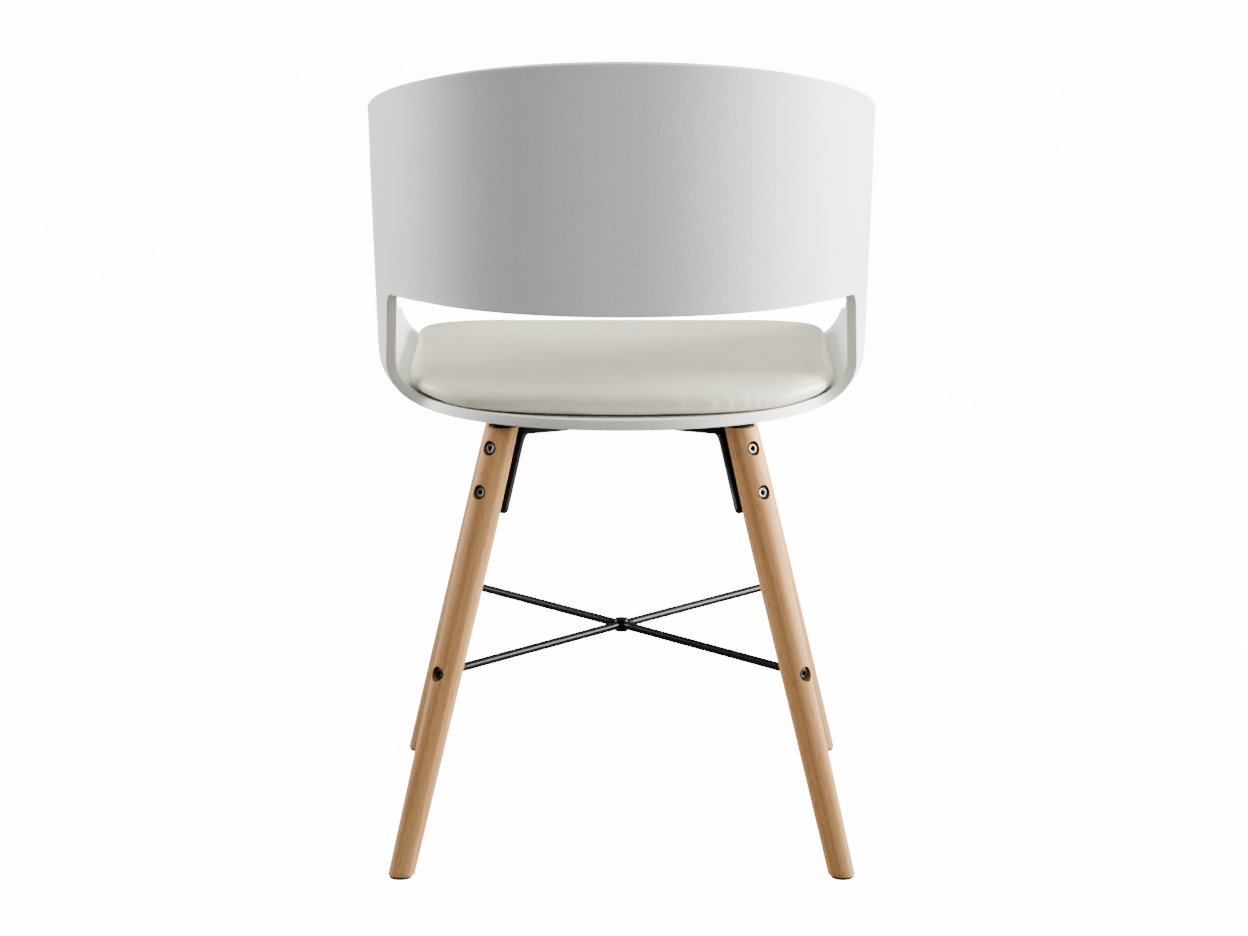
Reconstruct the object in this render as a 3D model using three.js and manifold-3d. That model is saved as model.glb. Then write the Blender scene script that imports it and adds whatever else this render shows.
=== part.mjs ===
// Dining chair: one-piece moulded tub shell with a lumbar opening, padded seat,
// four splayed turned legs on cast brackets, and a crossed rod brace.
// Units are millimetres. +Z is up, the seat opens towards -Y, the back is at +Y.
// The origin is on the floor under the middle of the chair. +X is the sitter's left.

import * as THREE from 'three';
import { mergeVertices } from 'three/addons/utils/BufferGeometryUtils.js';
import Module from 'manifold-3d';

const wasm = await Module();
wasm.setup();

// ---- driving dimensions ----

const BACK_HEIGHT = 772; // top of the back above the floor
const RIM_REAR_Y = 246; // where the rim is highest
const RIM_SLOPE = 0.268; // fall of the rim per millimetre forward
const BAND_LOWER_Z = 541; // lower edge of the back band
const SHELL_THICKNESS = 10;
const NOSE_BULGE = 2.2; // how far the rounded shell edge stands out
const SEAT_MID_Z = 429; // middle of the seat wall thickness
const SEAT_FRONT_RISE = 8; // how far the front of the seat climbs
const SEAT_FRONT_Y = -245.6;
const BEND_RADIUS = 47; // seat-to-wall bend, at mid thickness
const WALL_HALF_WIDTH = 234.5; // wall foot, at mid thickness
const WALL_REAR_REACH = 230; // wall foot behind the fan centre
const WALL_EXPONENT = 2.08; // fullness of the rear plan curve
const FAN_Y = -10; // centre the rear plan curve turns about
const FAN_BLEND = 60; // softens the change from fan to straight sides
const LEAN_REAR = THREE.MathUtils.degToRad(4.4);
const LEAN_SIDE = THREE.MathUtils.degToRad(1.6);

const OPENING_HALF_ANGLE = THREE.MathUtils.degToRad(70); // at half its height
const OPENING_SLANT = 0.043; // how much wider it is at the bottom, as a fraction
const OPENING_LIP_ANGLE = THREE.MathUtils.degToRad(22);
const OPENING_TOP_RADIUS = 11;
const OPENING_LOW_RADIUS = 44;
const OPENING_TALL = 115; // height of the unrolled opening

const ARM_BREAK_Y = -20; // where the arm top starts to turn down
const ARM_FRONT_Y = -240; // front edge of the arm just above the bend
const ARM_CORNER = 42; // length the front corner of the arm is rounded over

const REAR_FOOT_X = 209.5;
const FRONT_FOOT_X = 216.5;
const FOOT_Y = 211;
const LEG_TOP_X = 111.6;
const LEG_TOP_Y = 139.4;
const LEG_TOP_Z = 422.3;
const LEG_TOP_RADIUS = 14.7;
const LEG_SHOULDER_RADIUS = 15.7;
const LEG_SHOULDER_DROP = 95; // along the leg, below its top
const LEG_FOOT_RADIUS = 12.3;
const GLIDE_HEIGHT = 3;
const GLIDE_RADIUS = 11;
const CLEARANCE = 0.3;

const SEAT_UNDERSIDE_Z = SEAT_MID_Z - SHELL_THICKNESS / 2;
const PLATE_THICKNESS = 9.3;
const PLATE_SCREW_SINK = 3.4; // depth of the recesses for the plate screw heads
const TONGUE_THICKNESS = 1.2; // the part of the plate that lies over the leg
const TONGUE_RADIUS = 13.6;
const PLATE_END = -62; // inner end of the plate, from the leg towards the middle
const PLATE_SPREAD = 37; // half width of the plate where it is widest
const FIN_THICKNESS = 5;
const FIN_WIDTH = 34;
const FIN_LENGTH = 81.3;
const FIN_CORNER = 6;
const FIN_SEAT_DEPTH = 9.5; // distance of the leg flat from the leg axis
const FILLET = 8; // between the fin and the plate
const BRACKET_AZIMUTH = THREE.MathUtils.degToRad(36);

const BOLT_DROPS = [23.4, 65.9]; // along the leg, below its top
const BOLT_RADIUS = 3;
const BOLT_HEAD_RADIUS = 5.3;
const BOLT_HEAD_HEIGHT = 5;
const COUNTERBORE_RADIUS = 7;
const COUNTERBORE_FLOOR = 7; // distance of the counterbore floor from the leg axis

const BRACE_Z = 193;
const ROD_RADIUS = 4;
const HUB_RADIUS = 6.6;
const HUB_HEIGHT = 13;
const SPIGOT_RADIUS = 2.4;
const ROD_INSERT = 6; // how far short of the leg axis a rod stops
const BRACE_SCREW_RADIUS = 2.2;
const BRACE_RECESS_FLOOR = 7; // distance of the recess floor from the leg axis
const BRACE_HEAD_RADIUS = 5.2;
const BRACE_HEAD_HEIGHT = 3.6;

const CUSHION_HALF_WIDTH = 212;
const CUSHION_REAR_Y = 171;
const CUSHION_FRONT_FLARE = 0.03; // extra half width at the front, as a fraction
const CUSHION_FRONT_Y = -231;
const CUSHION_REAR_POWER = 2.4; // plan curve exponents: round rear, square front
const CUSHION_FRONT_POWER = 13;
const CUSHION_SKIN = 1.6;
const CUSHION_GAP = 1.5; // least height of the cushion above the shell
const BOARD_THICKNESS = 6;
const BOARD_HALF_WIDTH = 150;

// ---- materials ----

const material = (color, roughness, metalness) =>
  new THREE.MeshStandardMaterial({ color, roughness, metalness });

const LOOK = {
  shell: material(0xe4e3e1, 0.55, 0),
  cushion: material(0xd8d4ca, 0.42, 0),
  foam: material(0xe9dfae, 0.95, 0),
  board: material(0xb98f5f, 0.7, 0),
  beech: material(0xcda274, 0.5, 0),
  blackMetal: material(0x17171a, 0.38, 0.6),
  boltSteel: material(0x6f7276, 0.35, 0.9),
  zincSteel: material(0xa9adb2, 0.35, 0.9),
  glide: material(0x231d18, 0.6, 0),
};

// ---- mesh helpers ----

function toSolid(geometry) {
  const clean = geometry.clone();
  clean.deleteAttribute('normal');
  clean.deleteAttribute('uv');
  const merged = mergeVertices(clean, 1e-4);
  return new wasm.Manifold(new wasm.Mesh({
    numProp: 3,
    vertProperties: new Float32Array(merged.attributes.position.array),
    triVerts: new Uint32Array(merged.index.array),
  }));
}

function fromSolid(solid) {
  const mesh = solid.getMesh();
  const geometry = new THREE.BufferGeometry();
  geometry.setAttribute('position', new THREE.Float32BufferAttribute(mesh.vertProperties, 3));
  geometry.setIndex(new THREE.Uint32BufferAttribute(mesh.triVerts, 1));
  geometry.computeVertexNormals();
  return geometry;
}

function fromRings(rings, closed) {
  // rings of equal length, each walked the same way round; closed joins last ring to first
  const count = rings[0].length;
  const positions = [];
  const indices = [];
  rings.forEach((ring) => ring.forEach((point) => positions.push(point.x, point.y, point.z)));
  const bands = closed ? rings.length : rings.length - 1;
  for (let j = 0; j < bands; j += 1) {
    const next = (j + 1) % rings.length;
    for (let i = 0; i < count; i += 1) {
      const k = (i + 1) % count;
      indices.push(j * count + i, j * count + k, next * count + k);
      indices.push(j * count + i, next * count + k, next * count + i);
    }
  }
  if (!closed) {
    capRing(positions, indices, 0, count, true);
    capRing(positions, indices, (rings.length - 1) * count, count, false);
  }
  const geometry = new THREE.BufferGeometry();
  geometry.setAttribute('position', new THREE.Float32BufferAttribute(positions, 3));
  geometry.setIndex(indices);
  return geometry;
}

function capRing(positions, indices, start, count, flip) {
  const centre = new THREE.Vector3();
  for (let i = start; i < start + count; i += 1) {
    centre.x += positions[3 * i] / count;
    centre.y += positions[3 * i + 1] / count;
    centre.z += positions[3 * i + 2] / count;
  }
  const hub = positions.length / 3;
  positions.push(centre.x, centre.y, centre.z);
  for (let i = 0; i < count; i += 1) {
    const a = start + i;
    const b = start + ((i + 1) % count);
    indices.push(...(flip ? [b, a, hub] : [a, b, hub]));
  }
}

function boxSolid(width, depth, height, x, y, z) {
  return toSolid(new THREE.BoxGeometry(width, depth, height).translate(x, y, z));
}

function cylinderAlongX(radius, from, to, segments) {
  const geometry = new THREE.CylinderGeometry(radius, radius, to - from, segments);
  geometry.rotateZ(-Math.PI / 2);
  geometry.translate((from + to) / 2, 0, 0);
  return geometry;
}

function cylinderUp(radius, x, y, from, to, segments) {
  const geometry = new THREE.CylinderGeometry(radius, radius, to - from, segments);
  geometry.rotateX(Math.PI / 2);
  geometry.translate(x, y, (from + to) / 2);
  return geometry;
}

// ---- shell surface ----

function fanRamp(v) {
  if (v <= -FAN_BLEND) return 0;
  if (v >= FAN_BLEND) return v;
  return (v + FAN_BLEND) ** 2 / (4 * FAN_BLEND);
}

function wallRadius(nx, ny) {
  const side = (Math.abs(nx) / WALL_HALF_WIDTH) ** WALL_EXPONENT;
  const rear = (Math.abs(ny) / WALL_REAR_REACH) ** WALL_EXPONENT;
  return (side + rear) ** (-1 / WALL_EXPONENT);
}

function leanAngle(ny) {
  return LEAN_REAR * ny * ny + LEAN_SIDE * (1 - ny * ny);
}

function seatRise(y) {
  const t = THREE.MathUtils.clamp((-110 - y) / 120, 0, 1);
  return SEAT_FRONT_RISE * t * t * (3 - 2 * t);
}

function bendStart(nx, ny) {
  return wallRadius(nx, ny) - BEND_RADIUS;
}

// u, v are distances along the unrolled mid surface, measured from the seat centre line
function shellPoint(u, v) {
  const swing = fanRamp(v - FAN_Y);
  const reach = Math.max(Math.hypot(u, swing), 1e-6);
  const nx = u / reach;
  const ny = swing / reach;
  const lean = leanAngle(ny);
  const start = bendStart(nx, ny);
  const turn = Math.PI / 2 - lean;
  const angle = THREE.MathUtils.clamp((reach - start) / BEND_RADIUS, 0, turn);
  const up = Math.max(reach - start - BEND_RADIUS * turn, 0);
  const out = Math.min(reach, start) + BEND_RADIUS * Math.sin(angle) + up * Math.sin(lean);
  const height = BEND_RADIUS * (1 - Math.cos(angle)) + up * Math.cos(lean);
  const y = v - swing + ny * out;
  const fade = 1 - THREE.MathUtils.smoothstep(height, 40, 160);
  return new THREE.Vector3(nx * out, y, SEAT_MID_Z + height + seatRise(y) * fade);
}

function shellNormal(u, v) {
  const step = 0.5;
  const du = shellPoint(u + step, v).sub(shellPoint(u - step, v));
  const dv = shellPoint(u, v + step).sub(shellPoint(u, v - step));
  return du.cross(dv).normalize();
}

function reachAtHeight(nx, ny, z) {
  const lean = leanAngle(ny);
  const turn = Math.PI / 2 - lean;
  const bendTop = SEAT_MID_Z + BEND_RADIUS * (1 - Math.cos(turn));
  return bendStart(nx, ny) + BEND_RADIUS * turn + (z - bendTop) / Math.cos(lean);
}

function onFan(angle, reach) {
  return new THREE.Vector2(Math.sin(angle) * reach, FAN_Y + Math.cos(angle) * reach);
}

// half of the opening edge, from the middle of the band down to the middle of the seat
function openingEdge(counts) {
  const scale = WALL_HALF_WIDTH;
  const tall = OPENING_TALL;
  const end = OPENING_HALF_ANGLE * scale;
  const band = new THREE.Path();
  band.moveTo(0, tall);
  band.lineTo(end - OPENING_TOP_RADIUS, tall);
  band.absarc(end - OPENING_TOP_RADIUS, tall - OPENING_TOP_RADIUS, OPENING_TOP_RADIUS,
    Math.PI / 2, 0, true);
  const side = new THREE.Path();
  side.moveTo(end, tall - OPENING_TOP_RADIUS);
  side.lineTo(end, OPENING_LOW_RADIUS);
  const seat = new THREE.Path();
  seat.moveTo(end, OPENING_LOW_RADIUS);
  seat.absarc(end - OPENING_LOW_RADIUS, OPENING_LOW_RADIUS, OPENING_LOW_RADIUS,
    0, -Math.PI / 2, true);
  seat.lineTo(0, 0);
  const points = [
    ...band.getSpacedPoints(counts[0]).slice(0, -1),
    ...side.getSpacedPoints(counts[1]).slice(0, -1),
    ...seat.getSpacedPoints(counts[2]),
  ];
  return points.map((point) => {
    const angle = (point.x / scale) * (1 + OPENING_SLANT * (1 - (2 * point.y) / tall));
    const nx = Math.sin(angle);
    const ny = Math.cos(angle);
    const low = bendStart(nx, ny) + BEND_RADIUS * OPENING_LIP_ANGLE;
    const high = reachAtHeight(nx, ny, BAND_LOWER_Z);
    return onFan(angle, low + (high - low) * (point.y / tall));
  });
}

function rimPoint(angle, y) {
  // angle up to a right angle turns round the fan; past it the rim runs straight to y
  const nx = Math.sin(angle);
  const ny = Math.max(Math.cos(angle), 0);
  let reach = reachAtHeight(nx, ny, BACK_HEIGHT);
  let spot = new THREE.Vector2();
  for (let pass = 0; pass < 8; pass += 1) {
    spot = new THREE.Vector2(nx * reach, y + ny * reach);
    const here = shellPoint(spot.x, spot.y);
    reach += BACK_HEIGHT - RIM_SLOPE * (RIM_REAR_Y - here.y) - here.z;
  }
  return spot;
}

// half of the outer edge, from the top of the back round to the middle of the seat front
function outerEdge(counts) {
  const rimFan = Math.round(counts[0] * 0.72);
  const points = [];
  for (let i = 0; i < rimFan; i += 1) {
    points.push(rimPoint((i / rimFan) * (Math.PI / 2), FAN_Y));
  }
  const last = counts[0] - rimFan;
  for (let i = 0; i < last; i += 1) {
    points.push(rimPoint(Math.PI / 2, FAN_Y + (i / last) * (ARM_BREAK_Y - FAN_Y)));
  }
  const breakPoint = rimPoint(Math.PI / 2, ARM_BREAK_Y);
  const bendTop = WALL_HALF_WIDTH - BEND_RADIUS + BEND_RADIUS * (Math.PI / 2 - LEAN_SIDE);
  const armFront = new THREE.CubicBezierCurve(
    breakPoint,
    new THREE.Vector2(breakPoint.x - 54, ARM_BREAK_Y - 50),
    new THREE.Vector2(bendTop + 10, ARM_FRONT_Y + 148),
    new THREE.Vector2(bendTop, ARM_FRONT_Y + ARM_CORNER),
  );
  points.push(...armFront.getSpacedPoints(counts[1]).slice(0, -1));
  const seatFront = new THREE.CubicBezierCurve(
    new THREE.Vector2(bendTop, ARM_FRONT_Y + ARM_CORNER),
    new THREE.Vector2(bendTop - 3, ARM_FRONT_Y - 8),
    new THREE.Vector2(110, SEAT_FRONT_Y),
    new THREE.Vector2(0, SEAT_FRONT_Y),
  );
  points.push(...seatFront.getSpacedPoints(counts[2]));
  return points;
}

function wholeLoop(half) {
  const mirrored = half.slice(1, -1).reverse().map((point) => new THREE.Vector2(-point.x, point.y));
  return [...half, ...mirrored];
}

// rounded edge of the shell wall, as rings between its near face and its far face
function noseRings(near, far, nearInboard, farInboard) {
  return [0.12, 0.5, 0.88].map((share) => near.map((point, i) => {
    const edge = point.clone().add(far[i]).multiplyScalar(0.5);
    const inboard = nearInboard[i].clone().add(farInboard[i]).multiplyScalar(0.5);
    const push = edge.sub(inboard).normalize().multiplyScalar(NOSE_BULGE);
    return point.clone().lerp(far[i], share).add(push);
  }));
}

function shellSolid() {
  const counts = [18, 8, 17];
  const rows = 9;
  const inner = wholeLoop(openingEdge(counts));
  const outer = wholeLoop(outerEdge(counts));
  const half = SHELL_THICKNESS / 2;
  const outside = [];
  const inside = [];
  for (let j = 0; j <= rows; j += 1) {
    const flats = inner.map((point, i) => point.clone().lerp(outer[i], j / rows));
    const normals = flats.map((flat) => shellNormal(flat.x, flat.y));
    const middles = flats.map((flat) => shellPoint(flat.x, flat.y));
    inside.push(middles.map((point, i) => point.clone().addScaledVector(normals[i], half)));
    outside.push(middles.map((point, i) => point.clone().addScaledVector(normals[i], -half)));
  }
  const rings = [
    ...inside,
    ...noseRings(inside[rows], outside[rows], inside[rows - 1], outside[rows - 1]),
    ...outside.slice().reverse(),
    ...noseRings(outside[0], inside[0], outside[1], inside[1]),
  ];
  return toSolid(fromRings(rings, true));
}

// ---- leg stations ----

const STATIONS = [
  { name: 'rear_left', sx: 1, sy: 1 },
  { name: 'rear_right', sx: -1, sy: 1 },
  { name: 'front_left', sx: 1, sy: -1 },
  { name: 'front_right', sx: -1, sy: -1 },
];

function legAxisAt(station, z) {
  const t = z / LEG_TOP_Z;
  const footX = station.sy > 0 ? REAR_FOOT_X : FRONT_FOOT_X;
  return new THREE.Vector3(
    station.sx * (footX + (LEG_TOP_X - footX) * t),
    station.sy * (FOOT_Y + (LEG_TOP_Y - FOOT_Y) * t),
    z,
  );
}

// local frame of a leg: z up its axis, x outward along its bolts, origin at its top
function legFrame(station) {
  const top = legAxisAt(station, LEG_TOP_Z);
  const axis = top.clone().sub(legAxisAt(station, 0)).normalize();
  const outward = new THREE.Vector3(
    station.sx * Math.sin(BRACKET_AZIMUTH),
    station.sy * Math.cos(BRACKET_AZIMUTH),
    0,
  );
  outward.addScaledVector(axis, -outward.dot(axis)).normalize();
  const across = axis.clone().cross(outward);
  return new THREE.Matrix4().makeBasis(outward, across, axis).setPosition(top);
}

// frame whose x runs outward along a brace rod, origin on the leg axis at rod height
function braceFrame(station) {
  const end = legAxisAt(station, BRACE_Z);
  const outward = new THREE.Vector3(end.x, end.y, 0).normalize();
  const up = new THREE.Vector3(0, 0, 1);
  return new THREE.Matrix4().makeBasis(outward, up.clone().cross(outward), up).setPosition(end);
}

function bracketHeading(station) {
  return Math.atan2(station.sy * Math.cos(BRACKET_AZIMUTH), station.sx * Math.sin(BRACKET_AZIMUTH));
}

// fan-shaped plate with a round tongue over the leg; x runs outward, the leg axis is at 0
function plateSolid(station, from, to) {
  const neck = FIN_WIDTH / 2;
  const spread = PLATE_SPREAD;
  const end = PLATE_END;
  const shape = new THREE.Shape();
  shape.moveTo(0, -TONGUE_RADIUS);
  shape.absarc(0, 0, TONGUE_RADIUS, -Math.PI / 2, Math.PI / 2, false);
  shape.lineTo(-9, neck);
  shape.lineTo(-44, spread);
  shape.quadraticCurveTo(end + 1, spread + 6, end, spread - 15);
  shape.lineTo(end, 15 - spread);
  shape.quadraticCurveTo(end + 1, -spread - 6, -44, -spread);
  shape.lineTo(-9, -neck);
  shape.lineTo(0, -TONGUE_RADIUS);
  const geometry = new THREE.ExtrudeGeometry(shape, {
    depth: to - from,
    bevelEnabled: false,
    curveSegments: 6,
  });
  geometry.rotateZ(bracketHeading(station));
  geometry.translate(station.sx * LEG_TOP_X, station.sy * LEG_TOP_Y, from);
  return toSolid(geometry);
}

// the three shell screws of a bracket, in plan
function plateScrewSpots(station) {
  const heading = bracketHeading(station);
  return [[-34, 20], [-34, -20], [-53, 0]].map(([along, across]) => new THREE.Vector2(along, across)
    .rotateAround(new THREE.Vector2(0, 0), heading)
    .add(new THREE.Vector2(station.sx * LEG_TOP_X, station.sy * LEG_TOP_Y)));
}

const boardScrewSpots = [[1, 1], [-1, 1], [1, -1], [-1, -1]].map(([sx, sy]) =>
  new THREE.Vector2(sx * 45, sy * 60));

// ---- parts ----

const chair = new THREE.Group();
chair.name = 'dining_chair';

function addMesh(parent, name, geometry, look) {
  const mesh = new THREE.Mesh(geometry, look);
  mesh.name = name;
  parent.add(mesh);
  return mesh;
}

function addShell() {
  let solid = shellSolid();
  for (const station of STATIONS) {
    for (const spot of plateScrewSpots(station)) {
      solid = solid.subtract(toSolid(cylinderUp(2.8, spot.x, spot.y, 400, 460, 12)));
    }
  }
  for (const spot of boardScrewSpots) {
    solid = solid.subtract(toSolid(cylinderUp(2.8, spot.x, spot.y, 400, 460, 12)));
  }
  addMesh(chair, 'seat_shell', fromSolid(solid), LOOK.shell);
}

function legSolid(station) {
  const frame = legFrame(station);
  const length = legAxisAt(station, LEG_TOP_Z).distanceTo(legAxisAt(station, 0));
  const spare = 12;
  const blank = new THREE.LatheGeometry([
    new THREE.Vector2(0, -length - spare),
    new THREE.Vector2(LEG_FOOT_RADIUS, -length - spare),
    new THREE.Vector2(LEG_FOOT_RADIUS, -length),
    new THREE.Vector2(LEG_SHOULDER_RADIUS, -LEG_SHOULDER_DROP),
    new THREE.Vector2(LEG_TOP_RADIUS, 0),
    new THREE.Vector2(LEG_TOP_RADIUS, spare),
    new THREE.Vector2(0, spare),
  ], 24);
  blank.rotateX(Math.PI / 2);
  const up = new THREE.Vector3(0, 0, 1).transformDirection(frame.clone().invert());
  let solid = toSolid(blank);
  solid = solid.trimByPlane([-up.x, -up.y, -up.z], 0);
  solid = solid.trimByPlane([up.x, up.y, up.z], GLIDE_HEIGHT + 0.2 - LEG_TOP_Z);
  const flat = boxSolid(20, 60, FIN_LENGTH + 42, -FIN_SEAT_DEPTH - 10, 0, 20 - FIN_LENGTH / 2);
  solid = solid.subtract(flat);
  for (const drop of BOLT_DROPS) {
    const bore = cylinderAlongX(BOLT_RADIUS + CLEARANCE, -30, 30, 12).translate(0, 0, -drop);
    const recess = cylinderAlongX(COUNTERBORE_RADIUS, COUNTERBORE_FLOOR, 30, 18);
    solid = solid.subtract(toSolid(bore)).subtract(toSolid(recess.translate(0, 0, -drop)));
  }
  const brace = new THREE.Matrix4().multiplyMatrices(frame.clone().invert(), braceFrame(station));
  const rodHole = cylinderAlongX(ROD_RADIUS + CLEARANCE, -40, -ROD_INSERT + 0.6, 14);
  const screwHole = cylinderAlongX(BRACE_SCREW_RADIUS + CLEARANCE, -20, 20, 12);
  const screwRecess = cylinderAlongX(COUNTERBORE_RADIUS, BRACE_RECESS_FLOOR, 40, 18);
  for (const tool of [rodHole, screwHole, screwRecess]) {
    solid = solid.subtract(toSolid(tool.applyMatrix4(brace)));
  }
  const foot = legAxisAt(station, 0);
  const nail = cylinderUp(1.5, foot.x, foot.y, -5, 17, 10);
  return solid.subtract(toSolid(nail.applyMatrix4(frame.clone().invert())));
}

function socketScrew(shankRadius, shankEnd, seat, headRadius, headHeight, socket) {
  // head sits at x = seat, shank runs inward to x = shankEnd
  const profile = [
    new THREE.Vector2(0, shankEnd),
    new THREE.Vector2(shankRadius, shankEnd),
    new THREE.Vector2(shankRadius, seat),
    new THREE.Vector2(headRadius, seat),
    new THREE.Vector2(headRadius, seat + headHeight * 0.65),
    new THREE.Vector2(headRadius * 0.84, seat + headHeight),
    new THREE.Vector2(0, seat + headHeight),
  ];
  const body = new THREE.LatheGeometry(profile, 14);
  body.rotateZ(-Math.PI / 2);
  const hex = cylinderAlongX(socket, seat + headHeight * 0.4, seat + headHeight + 3, 6);
  return fromSolid(toSolid(body).subtract(toSolid(hex)));
}

function bracketSolid(station) {
  const frame = legFrame(station);
  const plateTop = SEAT_UNDERSIDE_Z - CLEARANCE;
  const back = -FIN_SEAT_DEPTH - CLEARANCE;
  const face = back - FIN_THICKNESS;
  const half = FIN_WIDTH / 2;

  const outline = new THREE.Shape();
  outline.moveTo(-half, 20);
  outline.lineTo(-half, -FIN_LENGTH + FIN_CORNER);
  outline.quadraticCurveTo(-half, -FIN_LENGTH, -half + FIN_CORNER, -FIN_LENGTH);
  outline.lineTo(half - FIN_CORNER, -FIN_LENGTH);
  outline.quadraticCurveTo(half, -FIN_LENGTH, half, -FIN_LENGTH + FIN_CORNER);
  outline.lineTo(half, 20);
  const fin = new THREE.ExtrudeGeometry(outline, {
    depth: FIN_THICKNESS,
    bevelEnabled: false,
    curveSegments: 5,
  });
  // stand the outline up: its x runs across the leg, its y runs up the leg
  fin.rotateX(Math.PI / 2);
  fin.rotateZ(Math.PI / 2);
  fin.translate(face, 0, 0);

  const corner = new THREE.Shape();
  corner.moveTo(face + 1, 12);
  corner.lineTo(face + 1, -FILLET - 3.6);
  corner.lineTo(face, -FILLET - 3.6);
  corner.quadraticCurveTo(face, -2.9, face - FILLET, -0.6);
  corner.lineTo(face - FILLET, 12);
  const fillet = new THREE.ExtrudeGeometry(corner, {
    depth: FIN_WIDTH,
    bevelEnabled: false,
    curveSegments: 6,
  });
  fillet.rotateX(Math.PI / 2);
  fillet.translate(0, half, 0);

  let upright = toSolid(fin).add(toSolid(fillet));
  for (const drop of BOLT_DROPS) {
    const bore = cylinderAlongX(BOLT_RADIUS + CLEARANCE, -60, 30, 16).translate(0, 0, -drop);
    upright = upright.subtract(toSolid(bore));
  }
  upright = upright.transform(frame.toArray());
  upright = upright.trimByPlane([0, 0, -1], -(plateTop - PLATE_THICKNESS / 2));

  const legRoom = boxSolid(60, 80, 160, back + 30, 0, -50)
    .transform(frame.toArray())
    .trimByPlane([0, 0, -1], -(plateTop - TONGUE_THICKNESS));
  let solid = plateSolid(station, plateTop - PLATE_THICKNESS, plateTop).subtract(legRoom);
  solid = solid.add(upright);
  for (const spot of plateScrewSpots(station)) {
    const sunk = plateTop - PLATE_THICKNESS + PLATE_SCREW_SINK;
    solid = solid.subtract(toSolid(cylinderUp(2.8, spot.x, spot.y, 380, 440, 12)));
    solid = solid.subtract(toSolid(cylinderUp(5.2, spot.x, spot.y, 380, sunk, 18)));
  }
  return solid;
}

function addLegStation(station) {
  const frame = legFrame(station);
  const leg = new THREE.Group();
  leg.name = `station_${station.name}`;
  leg.applyMatrix4(frame);
  chair.add(leg);
  addMesh(leg, `leg_${station.name}`, fromSolid(legSolid(station)), LOOK.beech);

  BOLT_DROPS.forEach((drop, index) => {
    const shankEnd = -FIN_SEAT_DEPTH - CLEARANCE - FIN_THICKNESS + 0.5;
    const bolt = socketScrew(
      BOLT_RADIUS, shankEnd, COUNTERBORE_FLOOR + CLEARANCE, BOLT_HEAD_RADIUS, BOLT_HEAD_HEIGHT, 2.3,
    );
    const mesh = addMesh(leg, `leg_bolt_${station.name}_${index + 1}`, bolt, LOOK.boltSteel);
    mesh.position.set(0, 0, -drop);
  });

  addMesh(chair, `bracket_${station.name}`, fromSolid(bracketSolid(station)), LOOK.blackMetal);

  plateScrewSpots(station).forEach((spot, index) => {
    const seat = SEAT_UNDERSIDE_Z - PLATE_THICKNESS + PLATE_SCREW_SINK - 2 * CLEARANCE;
    const screw = socketScrew(2.4, -(SEAT_MID_Z + 3 - seat), 0, 4.6, 2.6, 1.7);
    screw.rotateY(Math.PI / 2);
    const mesh = addMesh(chair, `bracket_screw_${station.name}_${index + 1}`, screw, LOOK.zincSteel);
    mesh.position.set(spot.x, spot.y, seat);
  });

  const foot = legAxisAt(station, 0);
  const glide = toSolid(new THREE.LatheGeometry([
    new THREE.Vector2(0, 0),
    new THREE.Vector2(GLIDE_RADIUS - 0.8, 0),
    new THREE.Vector2(GLIDE_RADIUS, 0.8),
    new THREE.Vector2(GLIDE_RADIUS, GLIDE_HEIGHT),
    new THREE.Vector2(0, GLIDE_HEIGHT),
  ], 28).rotateX(Math.PI / 2));
  const nailSeat = toSolid(cylinderUp(3.1, 0, 0, -1, 1.4, 16));
  const nailBore = toSolid(cylinderUp(1.5, 0, 0, -1, 5, 10));
  const glideMesh = addMesh(
    chair, `glide_${station.name}`, fromSolid(glide.subtract(nailSeat).subtract(nailBore)), LOOK.glide,
  );
  glideMesh.position.set(foot.x, foot.y, 0);
  const nail = new THREE.LatheGeometry([
    new THREE.Vector2(0, 0.4),
    new THREE.Vector2(2.7, 0.4),
    new THREE.Vector2(2.7, 1.1),
    new THREE.Vector2(1.1, 1.1),
    new THREE.Vector2(1.1, 13),
    new THREE.Vector2(0, 16),
  ], 12).rotateX(Math.PI / 2);
  const nailMesh = addMesh(chair, `glide_nail_${station.name}`, nail, LOOK.zincSteel);
  nailMesh.position.set(foot.x, foot.y, 0);
}

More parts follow.
